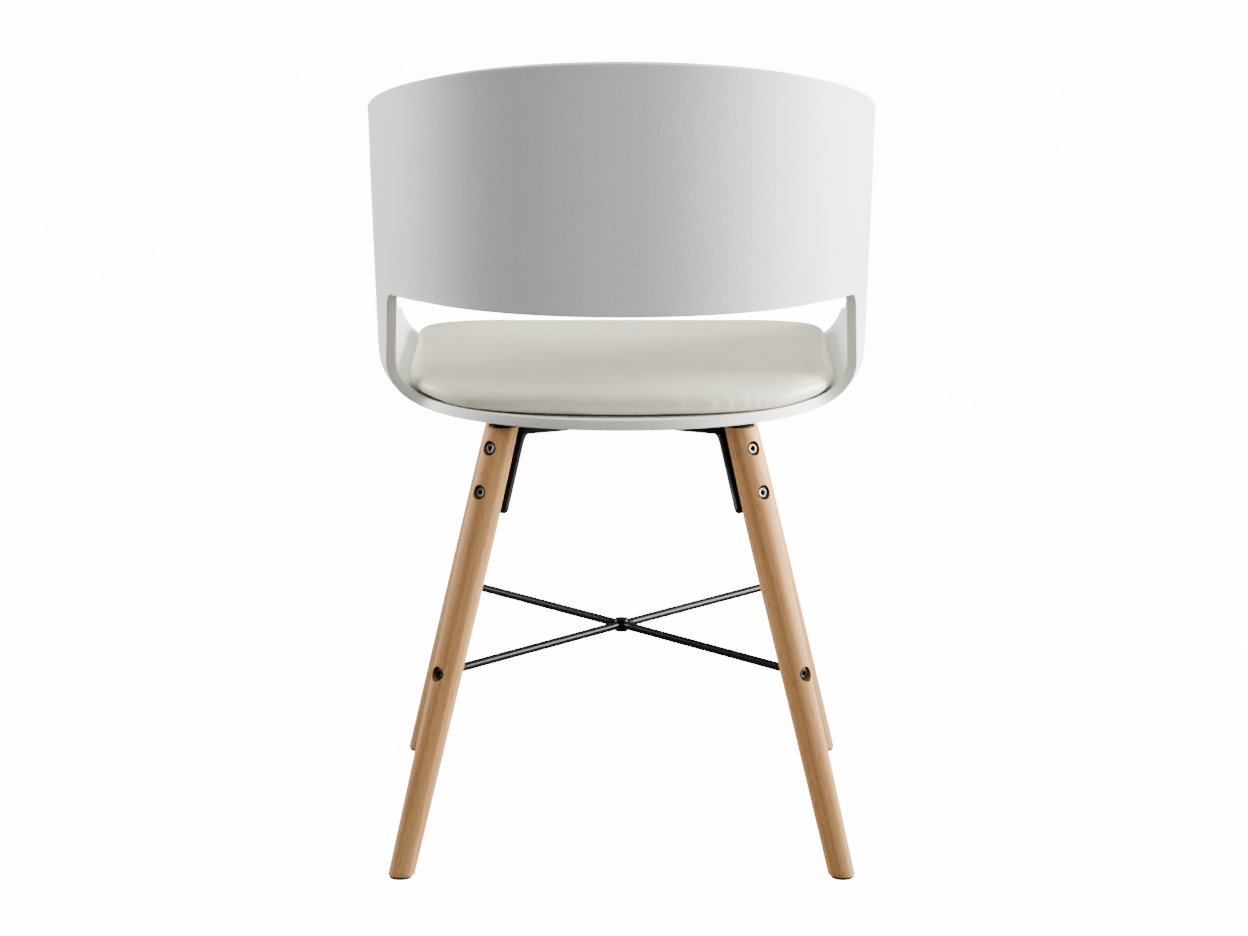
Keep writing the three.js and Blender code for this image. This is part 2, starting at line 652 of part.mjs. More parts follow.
function addBrace() {
  let hub = toSolid(cylinderUp(HUB_RADIUS, 0, 0, BRACE_Z - HUB_HEIGHT / 2, BRACE_Z + HUB_HEIGHT / 2, 28));
  for (const station of STATIONS) {
    const frame = braceFrame(station);
    const reach = Math.hypot(frame.elements[12], frame.elements[13]);
    const local = (geometry) => {
      const turned = geometry.clone();
      turned.rotateZ(Math.atan2(frame.elements[13], frame.elements[12]));
      return turned.translate(0, 0, BRACE_Z);
    };
    hub = hub.subtract(toSolid(local(cylinderAlongX(SPIGOT_RADIUS + CLEARANCE, 2, 30, 14))));
    const from = HUB_RADIUS + 0.4;
    const to = reach - ROD_INSERT;
    const rod = toSolid(cylinderAlongX(ROD_RADIUS, from, to, 16))
      .add(toSolid(cylinderAlongX(SPIGOT_RADIUS, 4.4, from + 1, 14)))
      .subtract(toSolid(cylinderAlongX(BRACE_SCREW_RADIUS + CLEARANCE, to - 14, to + 2, 12)));
    const rodMesh = addMesh(chair, `brace_rod_${station.name}`, fromSolid(rod), LOOK.blackMetal);
    rodMesh.position.set(0, 0, BRACE_Z);
    rodMesh.rotation.z = Math.atan2(frame.elements[13], frame.elements[12]);
    const seat = BRACE_RECESS_FLOOR + CLEARANCE;
    const screw = socketScrew(
      BRACE_SCREW_RADIUS, -ROD_INSERT - 13, seat, BRACE_HEAD_RADIUS, BRACE_HEAD_HEIGHT, 2.2,
    );
    const screwMesh = addMesh(chair, `brace_screw_${station.name}`, screw, LOOK.boltSteel);
    screwMesh.applyMatrix4(frame);
  }
  addMesh(chair, 'brace_hub', fromSolid(hub), LOOK.blackMetal);
}

// ---- cushion ----

// outline of the cushion in plan, a full rounded front and a tub-shaped rear
function cushionOutline(turn) {
  const c = Math.cos(turn);
  const s = Math.sin(turn);
  const rear = s >= 0;
  const power = rear ? CUSHION_REAR_POWER : CUSHION_FRONT_POWER;
  const x = CUSHION_HALF_WIDTH * Math.sign(c) * Math.abs(c) ** (2 / power);
  const y = (rear ? CUSHION_REAR_Y : CUSHION_FRONT_Y) * Math.abs(s) ** (2 / power);
  const flare = rear ? 0 : CUSHION_FRONT_FLARE * (y / CUSHION_FRONT_Y);
  return new THREE.Vector2(x * (1 + flare), y);
}

// height of the shell's inside face under a spot of the seat
function seatFaceZ(x, y) {
  const swing = Math.max(y - FAN_Y, 0);
  const out = Math.max(Math.hypot(x, swing), 1);
  const past = Math.max(out - bendStart(x / out, swing / out), 0);
  const radius = BEND_RADIUS - SHELL_THICKNESS / 2;
  const angle = Math.asin(Math.min(past / radius, 0.95));
  return SEAT_MID_Z + SHELL_THICKNESS / 2 + radius * (1 - Math.cos(angle)) + seatRise(y);
}

// ring of the cushion at an inset and a height, held at least a gap above the shell
function cushionRing(inset, z, gap, segments) {
  const ring = [];
  for (let i = 0; i < segments; i += 1) {
    const edge = cushionOutline((i / segments) * 2 * Math.PI);
    const reach = edge.length();
    edge.multiplyScalar(Math.max(reach - inset, 0.5) / reach);
    const height = Math.max(z + seatRise(edge.y), seatFaceZ(edge.x, edge.y) + gap);
    ring.push(new THREE.Vector3(edge.x, edge.y, height));
  }
  return ring;
}

// pairs of inset from the cushion outline and height, from underneath round to the crown
const CUSHION_PROFILE = [
  [44, 434.9], [22, 435.4], [10, 437.2], [2.5, 441.5], [0, 446.5],
  [2, 451], [7, 454.4], [18, 456.6], [60, 459.4], [120, 461],
];

function offsetProfile(profile, distance) {
  return profile.map(([inset, z], i) => {
    const before = profile[Math.max(i - 1, 0)];
    const after = profile[Math.min(i + 1, profile.length - 1)];
    const along = new THREE.Vector2(after[0] - before[0], after[1] - before[1]).normalize();
    return [inset + along.y * distance, z - along.x * distance];
  });
}

function addCushion() {
  const segments = 44;
  const outer = CUSHION_PROFILE.map(([inset, z]) => cushionRing(inset, z, CUSHION_GAP, segments));
  const outerSolid = toSolid(fromRings(outer, false));
  const hollow = offsetProfile(CUSHION_PROFILE, CUSHION_SKIN);
  const hollowGap = CUSHION_GAP + CUSHION_SKIN;
  const hollowRings = hollow.map(([inset, z]) => cushionRing(inset, z, hollowGap, segments));
  hollowRings.unshift(cushionRing(hollow[0][0], hollow[0][1] - 8, -20, segments));
  const cover = outerSolid.subtract(toSolid(fromRings(hollowRings, false)));
  addMesh(chair, 'cushion_cover', fromSolid(cover), LOOK.cushion);

  const foamProfile = offsetProfile(CUSHION_PROFILE, CUSHION_SKIN + 0.5).slice(3);
  const foamGap = hollowGap + 0.5;
  const foamRings = foamProfile.map(([inset, z]) => cushionRing(inset, z, foamGap, segments));
  foamRings.unshift(cushionRing(14, 441, foamGap, segments));
  addMesh(chair, 'cushion_foam', fromSolid(toSolid(fromRings(foamRings, false))), LOOK.foam);

  const half = BOARD_HALF_WIDTH;
  const shape = new THREE.Shape();
  const corner = 40;
  shape.moveTo(-half + corner, -105);
  shape.lineTo(half - corner, -105);
  shape.absarc(half - corner, -105 + corner, corner, -Math.PI / 2, 0, false);
  shape.lineTo(half, 40);
  shape.bezierCurveTo(half, 92, 70, 112, 0, 112);
  shape.bezierCurveTo(-70, 112, -half, 92, -half, 40);
  shape.lineTo(-half, -105 + corner);
  shape.absarc(-half + corner, -105 + corner, corner, Math.PI, 1.5 * Math.PI, false);
  const sheet = new THREE.ExtrudeGeometry(shape, {
    depth: BOARD_THICKNESS,
    bevelEnabled: false,
    curveSegments: 10,
  });
  const boardZ = SEAT_MID_Z + SHELL_THICKNESS / 2 + 0.4;
  let board = toSolid(sheet.translate(0, 0, boardZ));
  for (const spot of boardScrewSpots) {
    board = board.subtract(toSolid(cylinderUp(2.2, spot.x, spot.y, boardZ - 1, boardZ + 4.8, 12)));
  }
  addMesh(chair, 'cushion_board', fromSolid(board), LOOK.board);
  boardScrewSpots.forEach((spot, index) => {
    const seat = SEAT_MID_Z - SHELL_THICKNESS / 2 - CLEARANCE;
    const screw = socketScrew(1.9, -(boardZ + 4.4 - seat), 0, 4.4, 2.6, 1.6);
    screw.rotateY(Math.PI / 2);
    const mesh = addMesh(chair, `cushion_screw_${index + 1}`, screw, LOOK.zincSteel);
    mesh.position.set(spot.x, spot.y, seat);
  });
}

addShell();
addCushion();
STATIONS.forEach(addLegStation);
addBrace();

export default chair;
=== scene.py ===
"""Looks of the dining chair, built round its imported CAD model. Metres; +Z up, back at +Y."""

import math

import bmesh
import bpy
import numpy as np
from mathutils import Matrix, Vector


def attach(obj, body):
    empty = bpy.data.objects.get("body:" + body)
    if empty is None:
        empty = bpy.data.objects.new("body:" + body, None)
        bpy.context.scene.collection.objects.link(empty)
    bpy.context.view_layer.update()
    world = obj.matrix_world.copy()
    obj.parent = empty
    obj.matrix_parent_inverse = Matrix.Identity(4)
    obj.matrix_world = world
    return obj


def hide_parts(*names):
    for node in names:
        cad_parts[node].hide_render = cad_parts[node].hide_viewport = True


MM = 0.001

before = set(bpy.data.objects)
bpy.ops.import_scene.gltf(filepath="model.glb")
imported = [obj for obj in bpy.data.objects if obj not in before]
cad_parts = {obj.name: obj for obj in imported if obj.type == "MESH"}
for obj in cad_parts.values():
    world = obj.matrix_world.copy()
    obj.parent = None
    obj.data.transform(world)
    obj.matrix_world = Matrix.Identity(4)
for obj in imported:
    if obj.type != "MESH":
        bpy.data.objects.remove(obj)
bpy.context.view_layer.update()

# ---- dimensions in millimetres, the same as the CAD model's ----

BACK_HEIGHT = 772.0
RIM_REAR_Y = 246.0
RIM_SLOPE = 0.268
BAND_LOWER_Z = 541.0
SHELL_THICKNESS = 10.0
SEAT_MID_Z = 429.0
SEAT_FRONT_RISE = 8.0
SEAT_FRONT_Y = -245.6
BEND_RADIUS = 47.0
WALL_HALF_WIDTH = 234.5
WALL_REAR_REACH = 230.0
WALL_EXPONENT = 2.08
FAN_Y = -10.0
FAN_BLEND = 60.0
LEAN_REAR = math.radians(4.4)
LEAN_SIDE = math.radians(1.6)
OPENING_HALF_ANGLE = math.radians(70)
OPENING_SLANT = 0.043
OPENING_LIP_ANGLE = math.radians(22)
OPENING_TOP_RADIUS = 11.0
OPENING_LOW_RADIUS = 44.0
OPENING_TALL = 115.0
ARM_BREAK_Y = -20.0
ARM_FRONT_Y = -240.0
ARM_CORNER = 42.0
EDGE_ROUND = 1.0  # radius of the shell's rounded edges
EDGE_STEPS = 5  # facets of each rounded edge
SHELL_COUNTS = (96, 40, 90)  # steps along the three stretches of half an edge loop
SHELL_ROWS = 56  # rows of faces between the opening and the outer edge
SHELL_EASING = 24  # passes that even out the grid

REAR_FOOT_X = 209.5
FRONT_FOOT_X = 216.5
FOOT_Y = 211.0
LEG_TOP_X = 111.6
LEG_TOP_Y = 139.4
LEG_TOP_Z = 422.3
LEG_TOP_RADIUS = 14.7
LEG_SHOULDER_RADIUS = 15.7
LEG_SHOULDER_DROP = 95.0
LEG_FOOT_RADIUS = 12.3
LEG_FOOT_Z = 3.2  # underside of the wood, just above the glide
SEAT_UNDERSIDE_Z = SEAT_MID_Z - SHELL_THICKNESS / 2
PLATE_THICKNESS = 9.3
PLATE_SCREW_SINK = 3.4
TONGUE_THICKNESS = 1.2  # the part of the plate that lies over the leg
TONGUE_RADIUS = 13.6
PLATE_END = -62.0
PLATE_SPREAD = 37.0
FIN_THICKNESS = 5.0
FIN_WIDTH = 34.0
FIN_LENGTH = 81.3
FIN_CORNER = 6.0
FIN_SEAT_DEPTH = 9.5
FILLET = 8.0
CLEARANCE = 0.3
BRACKET_AZIMUTH = math.radians(36)
BOLT_DROPS = (23.4, 65.9)
PLATE_SCREWS = ((-34, 20), (-34, -20), (-53, 0))
PLATE_RECESS_RADIUS = 5.2
COUNTERBORE_RADIUS = 7.0
COUNTERBORE_FLOOR = 7.0
BRACE_Z = 193.0
ROD_RADIUS = 4.0
HUB_RADIUS = 6.6
HUB_HEIGHT = 13.0
SPIGOT_RADIUS = 2.4
SPIGOT_START = 4.4
ROD_INSERT = 6.0
BOLT_RADIUS = 3.0
BOLT_END = -14.3
BOLT_HEAD_RADIUS = 5.3
BOLT_HEAD_HEIGHT = 5.0
BOLT_SOCKET = 2.3
BRACE_SCREW_RADIUS = 2.2
BRACE_RECESS_FLOOR = 7.0
BRACE_HEAD_RADIUS = 5.2
BRACE_HEAD_HEIGHT = 3.6
BRACE_SOCKET = 2.2
BRACE_SCREW_LENGTH = 13.0  # how far its shank runs into the rod
BRACE_BORE = 2.5
GLIDE_HEIGHT = 3.0
GLIDE_RADIUS = 11.0

CUSHION_HALF_WIDTH = 212.0
CUSHION_REAR_Y = 171.0
CUSHION_FRONT_Y = -231.0
CUSHION_FRONT_FLARE = 0.03
CUSHION_REAR_POWER = 2.4
CUSHION_FRONT_POWER = 13.0
CUSHION_GROW_ROOM = 2.5  # the pad starts this much smaller, before it swells
PAD_CONTACT = 0.3  # least height of the pad above the shell
PAD_HELD_BELOW = 437.5  # the underside of the pad up to this height doesn't swell
PAD_VOXEL = 5.0
PAD_SWELL = 5.5  # furthest that a spot of the pad moves

FLOOR_SIZE = 9.0  # metres from the middle to a side
FLOOR_BOUNCE = 0.16  # floor colour as the chair sees it
FLOOR_GLOW = 13.0
SKY_LIGHT = 0.08
SKY_SHOWN = 14.0
FLAG_NEAR = 0.75
FLAG_FAR = 2.3
FLAG_REACH = 2.2
FLAG_HEIGHT = 0.43
CAMERA_DISTANCE = 3.15  # metres behind the chair's middle
CAMERA_HEIGHT = 1.005
CAMERA_PITCH = math.radians(11.7)
CAMERA_SENSOR = 36.0
CAMERA_LENS = 93.6635  # millimetres, as the sensor
CAMERA_SHIFT = 0.0020032

STATIONS = (
    ("rear_left", 1, 1),
    ("rear_right", -1, 1),
    ("front_left", 1, -1),
    ("front_right", -1, -1),
)


# ---- small mesh tools ----

def new_object(name, vertices, faces, scale=MM):
    mesh = bpy.data.meshes.new(name)
    mesh.from_pydata([tuple(float(c) * scale for c in v) for v in vertices], [], faces)
    mesh.validate()
    mesh.update()
    piece = bpy.data.objects.new(name, mesh)
    bpy.context.scene.collection.objects.link(piece)
    return piece


def smooth(piece):
    piece.data.polygons.foreach_set("use_smooth", [True] * len(piece.data.polygons))
    piece.data.update()


def fix_normals(piece):
    work = bmesh.new()
    work.from_mesh(piece.data)
    bmesh.ops.recalc_face_normals(work, faces=work.faces)
    work.to_mesh(piece.data)
    work.free()


def cut_flat(work, place, normal, keep_below=True):
    """Cuts a bmesh with a plane, drops one side of it and closes the cut."""
    cut = bmesh.ops.bisect_plane(
        work, geom=work.verts[:] + work.edges[:] + work.faces[:], dist=1e-7,
        plane_co=place, plane_no=normal, clear_outer=keep_below, clear_inner=not keep_below)
    rim = [part for part in cut["geom_cut"] if isinstance(part, bmesh.types.BMEdge)]
    bmesh.ops.contextual_create(work, geom=rim)


def trim_above(piece, z):
    """Removes what stands above a height and closes the cut."""
    work = bmesh.new()
    work.from_mesh(piece.data)
    cut_flat(work, (0, 0, z * MM), (0, 0, 1))
    bmesh.ops.recalc_face_normals(work, faces=work.faces)
    work.to_mesh(piece.data)
    work.free()


def apply_modifiers(piece):
    graph = bpy.context.evaluated_depsgraph_get()
    graph.update()
    result = bpy.data.meshes.new_from_object(piece.evaluated_get(graph))
    piece.modifiers.clear()
    piece.data = result


def sharpen(piece, degrees):
    """Smooth shading that breaks at edges sharper than the angle."""
    work = bmesh.new()
    work.from_mesh(piece.data)
    for face in work.faces:
        face.smooth = True
    limit = math.radians(degrees)
    for edge in work.edges:
        edge.smooth = len(edge.link_faces) != 2 or edge.calc_face_angle(0) < limit
    work.to_mesh(piece.data)
    work.free()


def rings_mesh(name, rings, closed=False):
    """Skin over rings of equal length; open stacks are closed by a fan at each end."""
    count = len(rings[0])
    vertices = [point for ring in rings for point in ring]
    faces = []
    bands = len(rings) if closed else len(rings) - 1
    for j in range(bands):
        k = (j + 1) % len(rings)
        for i in range(count):
            n = (i + 1) % count
            faces.append((j * count + i, j * count + n, k * count + n, k * count + i))
    if not closed:
        for start in (0, (len(rings) - 1) * count):
            vertices.append(np.mean(np.array(vertices[start:start + count]), axis=0))
            hub = len(vertices) - 1
            for i in range(count):
                faces.append((start + i, start + (i + 1) % count, hub))
    piece = new_object(name, vertices, faces)
    fix_normals(piece)
    return piece


def lathe(name, profile, segments):
    """Turned body about its own Z; profile holds (radius, z) in millimetres from base to top."""
    turns = [2 * math.pi * i / segments for i in range(segments)]
    rings = [[(r * math.cos(t), r * math.sin(t), z) for t in turns] for r, z in profile]
    return rings_mesh(name, rings)


def spaced(points, count):
    """count + 1 points at equal distances along a polyline."""
    points = np.array(points, float)
    steps = np.linalg.norm(np.diff(points, axis=0), axis=1)
    along = np.concatenate([[0], np.cumsum(steps)])
    wanted = np.linspace(0, along[-1], count + 1)
    return np.stack([np.interp(wanted, along, points[:, k]) for k in (0, 1)], axis=1)


def arc(cx, cy, radius, start, end, count=60):
    turns = np.linspace(start, end, count)
    return [(cx + radius * math.cos(t), cy + radius * math.sin(t)) for t in turns]


def bezier(a, b, c, d, count=400):
    t = np.linspace(0, 1, count)[:, None]
    a, b, c, d = (np.array(p, float) for p in (a, b, c, d))
    return (1 - t) ** 3 * a + 3 * (1 - t) ** 2 * t * b + 3 * (1 - t) * t ** 2 * c + t ** 3 * d


# ---- shell ----

def smoothstep(x, low, high):
    t = np.clip((x - low) / (high - low), 0, 1)
    return t * t * (3 - 2 * t)


def fan_ramp(v):
    """Zero well in front of the fan line and v well behind it, with a smooth change."""
    blend = (v + FAN_BLEND) ** 2 / (4 * FAN_BLEND)
    return np.where(v <= -FAN_BLEND, 0, np.where(v >= FAN_BLEND, v, blend))


def seat_rise(y):
    return SEAT_FRONT_RISE * smoothstep(-np.asarray(y, float), 110, 230)


def wall_radius(nx, ny):
    """Distance from the middle of the fan to the foot of the wall, in one direction."""
    side = (np.abs(nx) / WALL_HALF_WIDTH) ** WALL_EXPONENT
    rear = (np.abs(ny) / WALL_REAR_REACH) ** WALL_EXPONENT
    return (side + rear) ** (-1 / WALL_EXPONENT)


def lean_angle(ny):
    return LEAN_REAR * ny * ny + LEAN_SIDE * (1 - ny * ny)


def shell_point(u, v):
    """Middle of the wall thickness at a spot of the unrolled shell."""
    swing = fan_ramp(v - FAN_Y)
    reach = np.maximum(np.hypot(u, swing), 1e-6)
    nx, ny = u / reach, swing / reach
    lean = lean_angle(ny)
    start = wall_radius(nx, ny) - BEND_RADIUS
    turn = math.pi / 2 - lean
    angle = np.clip((reach - start) / BEND_RADIUS, 0, turn)
    up = np.maximum(reach - start - BEND_RADIUS * turn, 0)
    out = np.minimum(reach, start) + BEND_RADIUS * np.sin(angle) + up * np.sin(lean)
    height = BEND_RADIUS * (1 - np.cos(angle)) + up * np.cos(lean)
    y = v - swing + ny * out
    fade = 1 - smoothstep(height, 40, 160)
    return np.stack([nx * out, y, SEAT_MID_Z + height + seat_rise(y) * fade], axis=-1)


def reach_at_height(nx, ny, z):
    """Unrolled distance from the middle of the fan to a height on the wall."""
    lean = lean_angle(ny)
    turn = math.pi / 2 - lean
    bend_top = SEAT_MID_Z + BEND_RADIUS * (1 - np.cos(turn))
    return wall_radius(nx, ny) - BEND_RADIUS + BEND_RADIUS * turn + (z - bend_top) / np.cos(lean)


def opening_edge(counts):
    """Half of the opening edge, from the middle of the band down to the middle of the seat."""
    end = OPENING_HALF_ANGLE * WALL_HALF_WIDTH
    top_r, low_r, tall = OPENING_TOP_RADIUS, OPENING_LOW_RADIUS, OPENING_TALL
    band = [(0, tall)] + arc(end - top_r, tall - top_r, top_r, math.pi / 2, 0)
    side = [(end, tall - top_r), (end, low_r)]
    seat = arc(end - low_r, low_r, low_r, 0, -math.pi / 2) + [(0, 0)]
    flat = np.concatenate([
        spaced(band, counts[0])[:-1],
        spaced(side, counts[1])[:-1],
        spaced(seat, counts[2]),
    ])
    angle = flat[:, 0] / WALL_HALF_WIDTH * (1 + OPENING_SLANT * (1 - 2 * flat[:, 1] / tall))
    nx, ny = np.sin(angle), np.cos(angle)
    low = wall_radius(nx, ny) - BEND_RADIUS + BEND_RADIUS * OPENING_LIP_ANGLE
    high = reach_at_height(nx, ny, BAND_LOWER_Z)
    reach = low + (high - low) * flat[:, 1] / tall
    return np.stack([nx * reach, FAN_Y + ny * reach], axis=1)


def rim_spot(angle, y):
    """Unrolled spot that lands on the sloping rim, turned from the rear by the angle."""
    nx, ny = math.sin(angle), max(math.cos(angle), 0.0)
    reach = float(reach_at_height(nx, ny, BACK_HEIGHT))
    for _ in range(8):
        spot = (nx * reach, y + ny * reach)
        here = shell_point(np.array(spot[0]), np.array(spot[1]))
        reach += BACK_HEIGHT - RIM_SLOPE * (RIM_REAR_Y - here[1]) - here[2]
    return spot


def outer_edge(counts):
    """Half of the outer edge, from the top of the back round to the middle of the seat front."""
    rim_fan = round(counts[0] * 0.72)
    last = counts[0] - rim_fan
    points = [rim_spot(i / rim_fan * math.pi / 2, FAN_Y) for i in range(rim_fan)]
    points += [rim_spot(math.pi / 2, FAN_Y + i / last * (ARM_BREAK_Y - FAN_Y)) for i in range(last)]
    corner = rim_spot(math.pi / 2, ARM_BREAK_Y)
    bend_top = WALL_HALF_WIDTH - BEND_RADIUS + BEND_RADIUS * (math.pi / 2 - LEAN_SIDE)
    # the inner points of both curves set how the arm swoops down and turns into the seat front
    arm = bezier(corner, (corner[0] - 54, ARM_BREAK_Y - 50),
                 (bend_top + 10, ARM_FRONT_Y + 148), (bend_top, ARM_FRONT_Y + ARM_CORNER))
    front = bezier((bend_top, ARM_FRONT_Y + ARM_CORNER), (bend_top - 3, ARM_FRONT_Y - 8),
                   (110, SEAT_FRONT_Y), (0, SEAT_FRONT_Y))
    return np.concatenate([np.array(points), spaced(arm, counts[1])[:-1], spaced(front, counts[2])])


def whole_loop(half):
    mirrored = half[1:-1][::-1] * np.array([-1, 1])
    return np.concatenate([half, mirrored])


def build_shell():
    """Skin over a grid of loops from the opening's edge out to the outer edge, one per face."""
    rows = SHELL_ROWS
    inner = whole_loop(opening_edge(SHELL_COUNTS))
    outer = whole_loop(outer_edge(SHELL_COUNTS))
    shares = np.linspace(0, 1, rows + 1)
    flat = inner[None] + (outer - inner)[None] * shares[:, None, None]
    middle = shell_point(flat[..., 0], flat[..., 1])
    for _ in range(SHELL_EASING):
        eased = middle.copy()
        around = (np.roll(middle, 1, axis=1) + np.roll(middle, -1, axis=1)) / 2
        across = (middle[:-2] + middle[2:]) / 2
        eased[1:-1] = 0.5 * middle[1:-1] + 0.25 * around[1:-1] + 0.25 * across
        middle = eased
    along = np.roll(middle, -1, axis=1) - np.roll(middle, 1, axis=1)
    across = np.gradient(middle, axis=0)
    normal = np.cross(along, across)
    normal /= np.linalg.norm(normal, axis=-1, keepdims=True)
    if normal[rows // 2, len(inner) // 2, 2] < 0:
        normal = -normal
    half = SHELL_THICKNESS / 2
    rings = []

    def edge_rings(row, neighbour, inside_first):
        """Rings that round the edge at a row, from one face of the shell to the other."""
        outward = middle[row] - middle[neighbour]
        outward -= (outward * normal[row]).sum(-1, keepdims=True) * normal[row]
        outward /= np.linalg.norm(outward, axis=-1, keepdims=True)
        result = []
        sign = 1 if inside_first else -1
        steps = EDGE_STEPS
        for i in range(1, 2 * steps + 2):
            if i <= steps:
                turn = math.pi / 2 * i / steps
                depth = half - EDGE_ROUND * (1 - math.cos(turn))
                push = EDGE_ROUND * math.sin(turn)
            elif i == steps + 1:
                depth, push = 0.0, EDGE_ROUND
            else:
                turn = math.pi / 2 * (2 * steps + 2 - i) / steps
                depth = -(half - EDGE_ROUND * (1 - math.cos(turn)))
                push = EDGE_ROUND * math.sin(turn)
            result.append(middle[row] + normal[row] * depth * sign + outward * push)
        return result

    rings += [middle[j] + normal[j] * half for j in range(rows + 1)]
    rings += edge_rings(rows, rows - 1, True)
    rings += [middle[j] - normal[j] * half for j in range(rows, -1, -1)]
    rings += edge_rings(0, 1, False)
    shell = rings_mesh("shell_body", rings, closed=True)
    smooth(shell)
    shell.data.materials.append(LOOKS["shell"])
    shell.data.materials.append(LOOKS["shell_edge_painted_shade"])
    count = len(inner)
    edge_start = len(rings) - 2 * EDGE_STEPS - 2  # from here on the rings go round the opening's lip
    # faces round the opening's lip take the darker, warmer copy of the shell plastic: painted shade on the
    # lip
    for face in shell.data.polygons:
        rows_met = [index // count for index in face.vertices]
        lip = min(rows_met) >= edge_start or (min(rows_met) == 0 and max(rows_met) > edge_start)
        face.material_index = int(lip)
    return shell


# ---- legs and fittings ----

def leg_axis_at(sx, sy, z):
    foot_x = REAR_FOOT_X if sy > 0 else FRONT_FOOT_X
    t = z / LEG_TOP_Z
    x = foot_x + (LEG_TOP_X - foot_x) * t
    y = FOOT_Y + (LEG_TOP_Y - FOOT_Y) * t
    return Vector((sx * x, sy * y, z))


def basis(x, y, z, origin):
    matrix = Matrix((x, y, z)).transposed().to_4x4()
    matrix.translation = origin * MM
    return matrix


def leg_frame(sx, sy):
    top = leg_axis_at(sx, sy, LEG_TOP_Z)
    axis = (top - leg_axis_at(sx, sy, 0)).normalized()
    outward = Vector((sx * math.sin(BRACKET_AZIMUTH), sy * math.cos(BRACKET_AZIMUTH), 0))
    outward = (outward - axis * outward.dot(axis)).normalized()
    return basis(outward, axis.cross(outward), axis, top)


def brace_frame(sx, sy):
    end = leg_axis_at(sx, sy, BRACE_Z)
    outward = Vector((end.x, end.y, 0)).normalized()
    up = Vector((0, 0, 1))
    return basis(outward, up.cross(outward), up, end)


def along_x(piece):
    """Turns a lathed body so that its axis runs along X."""
    piece.data.transform(Matrix.Rotation(math.pi / 2, 4, "Y"))
    return piece


def leg_cutters(sx, sy, matrix):
    """Recesses for the bolts and the brace screw, the rod hole and the flat for the bracket."""
    bolt_recess = [(COUNTERBORE_RADIUS, COUNTERBORE_FLOOR), (COUNTERBORE_RADIUS, 40)]
    brace_recess = [(COUNTERBORE_RADIUS, BRACE_RECESS_FLOOR), (COUNTERBORE_RADIUS, 40)]
    rod_radius = ROD_RADIUS + CLEARANCE
    rod_hole = [(rod_radius, -40), (rod_radius, -ROD_INSERT + 2 * CLEARANCE)]
    cutters = []
    for drop in BOLT_DROPS:
        tool = along_x(lathe("cut", bolt_recess, 56))
        tool.data.transform(Matrix.Translation((0, 0, -drop * MM)))
        cutters.append(tool)
    brace = matrix.inverted() @ brace_frame(sx, sy)
    for profile in (brace_recess, rod_hole):
        tool = along_x(lathe("cut", profile, 48))
        tool.data.transform(brace)
        cutters.append(tool)
    face, depth, width, top = -FIN_SEAT_DEPTH, 20, 60, 41
    outline = [(face - depth, -width / 2), (face, -width / 2), (face, width / 2), (face - depth, width / 2)]
    cutters.append(prism("cut", outline, -FIN_LENGTH - 1, top))
    return cutters


def build_leg(name, sx, sy):
    """Turned leg, cut level at both ends, with its recesses; drawn along its own axis."""
    matrix = leg_frame(sx, sy)
    length = (leg_axis_at(sx, sy, LEG_TOP_Z) - leg_axis_at(sx, sy, 0)).length
    spare = 12  # the turned body runs past both level cuts
    ease, dip = 22, 0.12  # length and depth of the eased shoulder
    stations = np.linspace(-length, 0, 60)
    widths = np.interp(stations, [-length, -LEG_SHOULDER_DROP, 0],
                       [LEG_FOOT_RADIUS, LEG_SHOULDER_RADIUS, LEG_TOP_RADIUS])
    widths -= dip * np.exp(-((stations + LEG_SHOULDER_DROP) / ease) ** 2)
    profile = [(LEG_FOOT_RADIUS, -length - spare)]
    profile += [(float(r), float(z)) for r, z in zip(widths, stations)]
    profile += [(LEG_TOP_RADIUS, spare)]
    leg = lathe("leg_wood_" + name, profile, 112)
    up = matrix.to_3x3().inverted() @ Vector((0, 0, 1))
    work = bmesh.new()
    work.from_mesh(leg.data)
    cut_flat(work, up * 0, up)
    cut_flat(work, up * (LEG_FOOT_Z - LEG_TOP_Z) * MM, up, keep_below=False)
    bmesh.ops.recalc_face_normals(work, faces=work.faces)
    work.to_mesh(leg.data)
    work.free()

    cutters = leg_cutters(sx, sy, matrix)
    leg.data.materials.append(LOOKS["beech"])
    for tool in cutters:
        fix_normals(tool)
        # faces cut by the tools take the beech copy darkened to 0.3: painted shade in the recesses and
        # holes
        tool.data.materials.append(LOOKS["beech_cut_painted_shade"])
        modifier = leg.modifiers.new("cut", "BOOLEAN")
        modifier.operation = "DIFFERENCE"
        modifier.solver = "EXACT"
        modifier.material_mode = "TRANSFER"
        modifier.object = tool
    bevel = leg.modifiers.new("soften", "BEVEL")
    bevel.width = 0.45 * MM
    bevel.segments = 2
    bevel.limit_method = "ANGLE"
    bevel.angle_limit = math.radians(42)
    apply_modifiers(leg)
    for tool in cutters:
        bpy.data.objects.remove(tool)
    sharpen(leg, 30)
    leg.matrix_world = matrix
    return leg


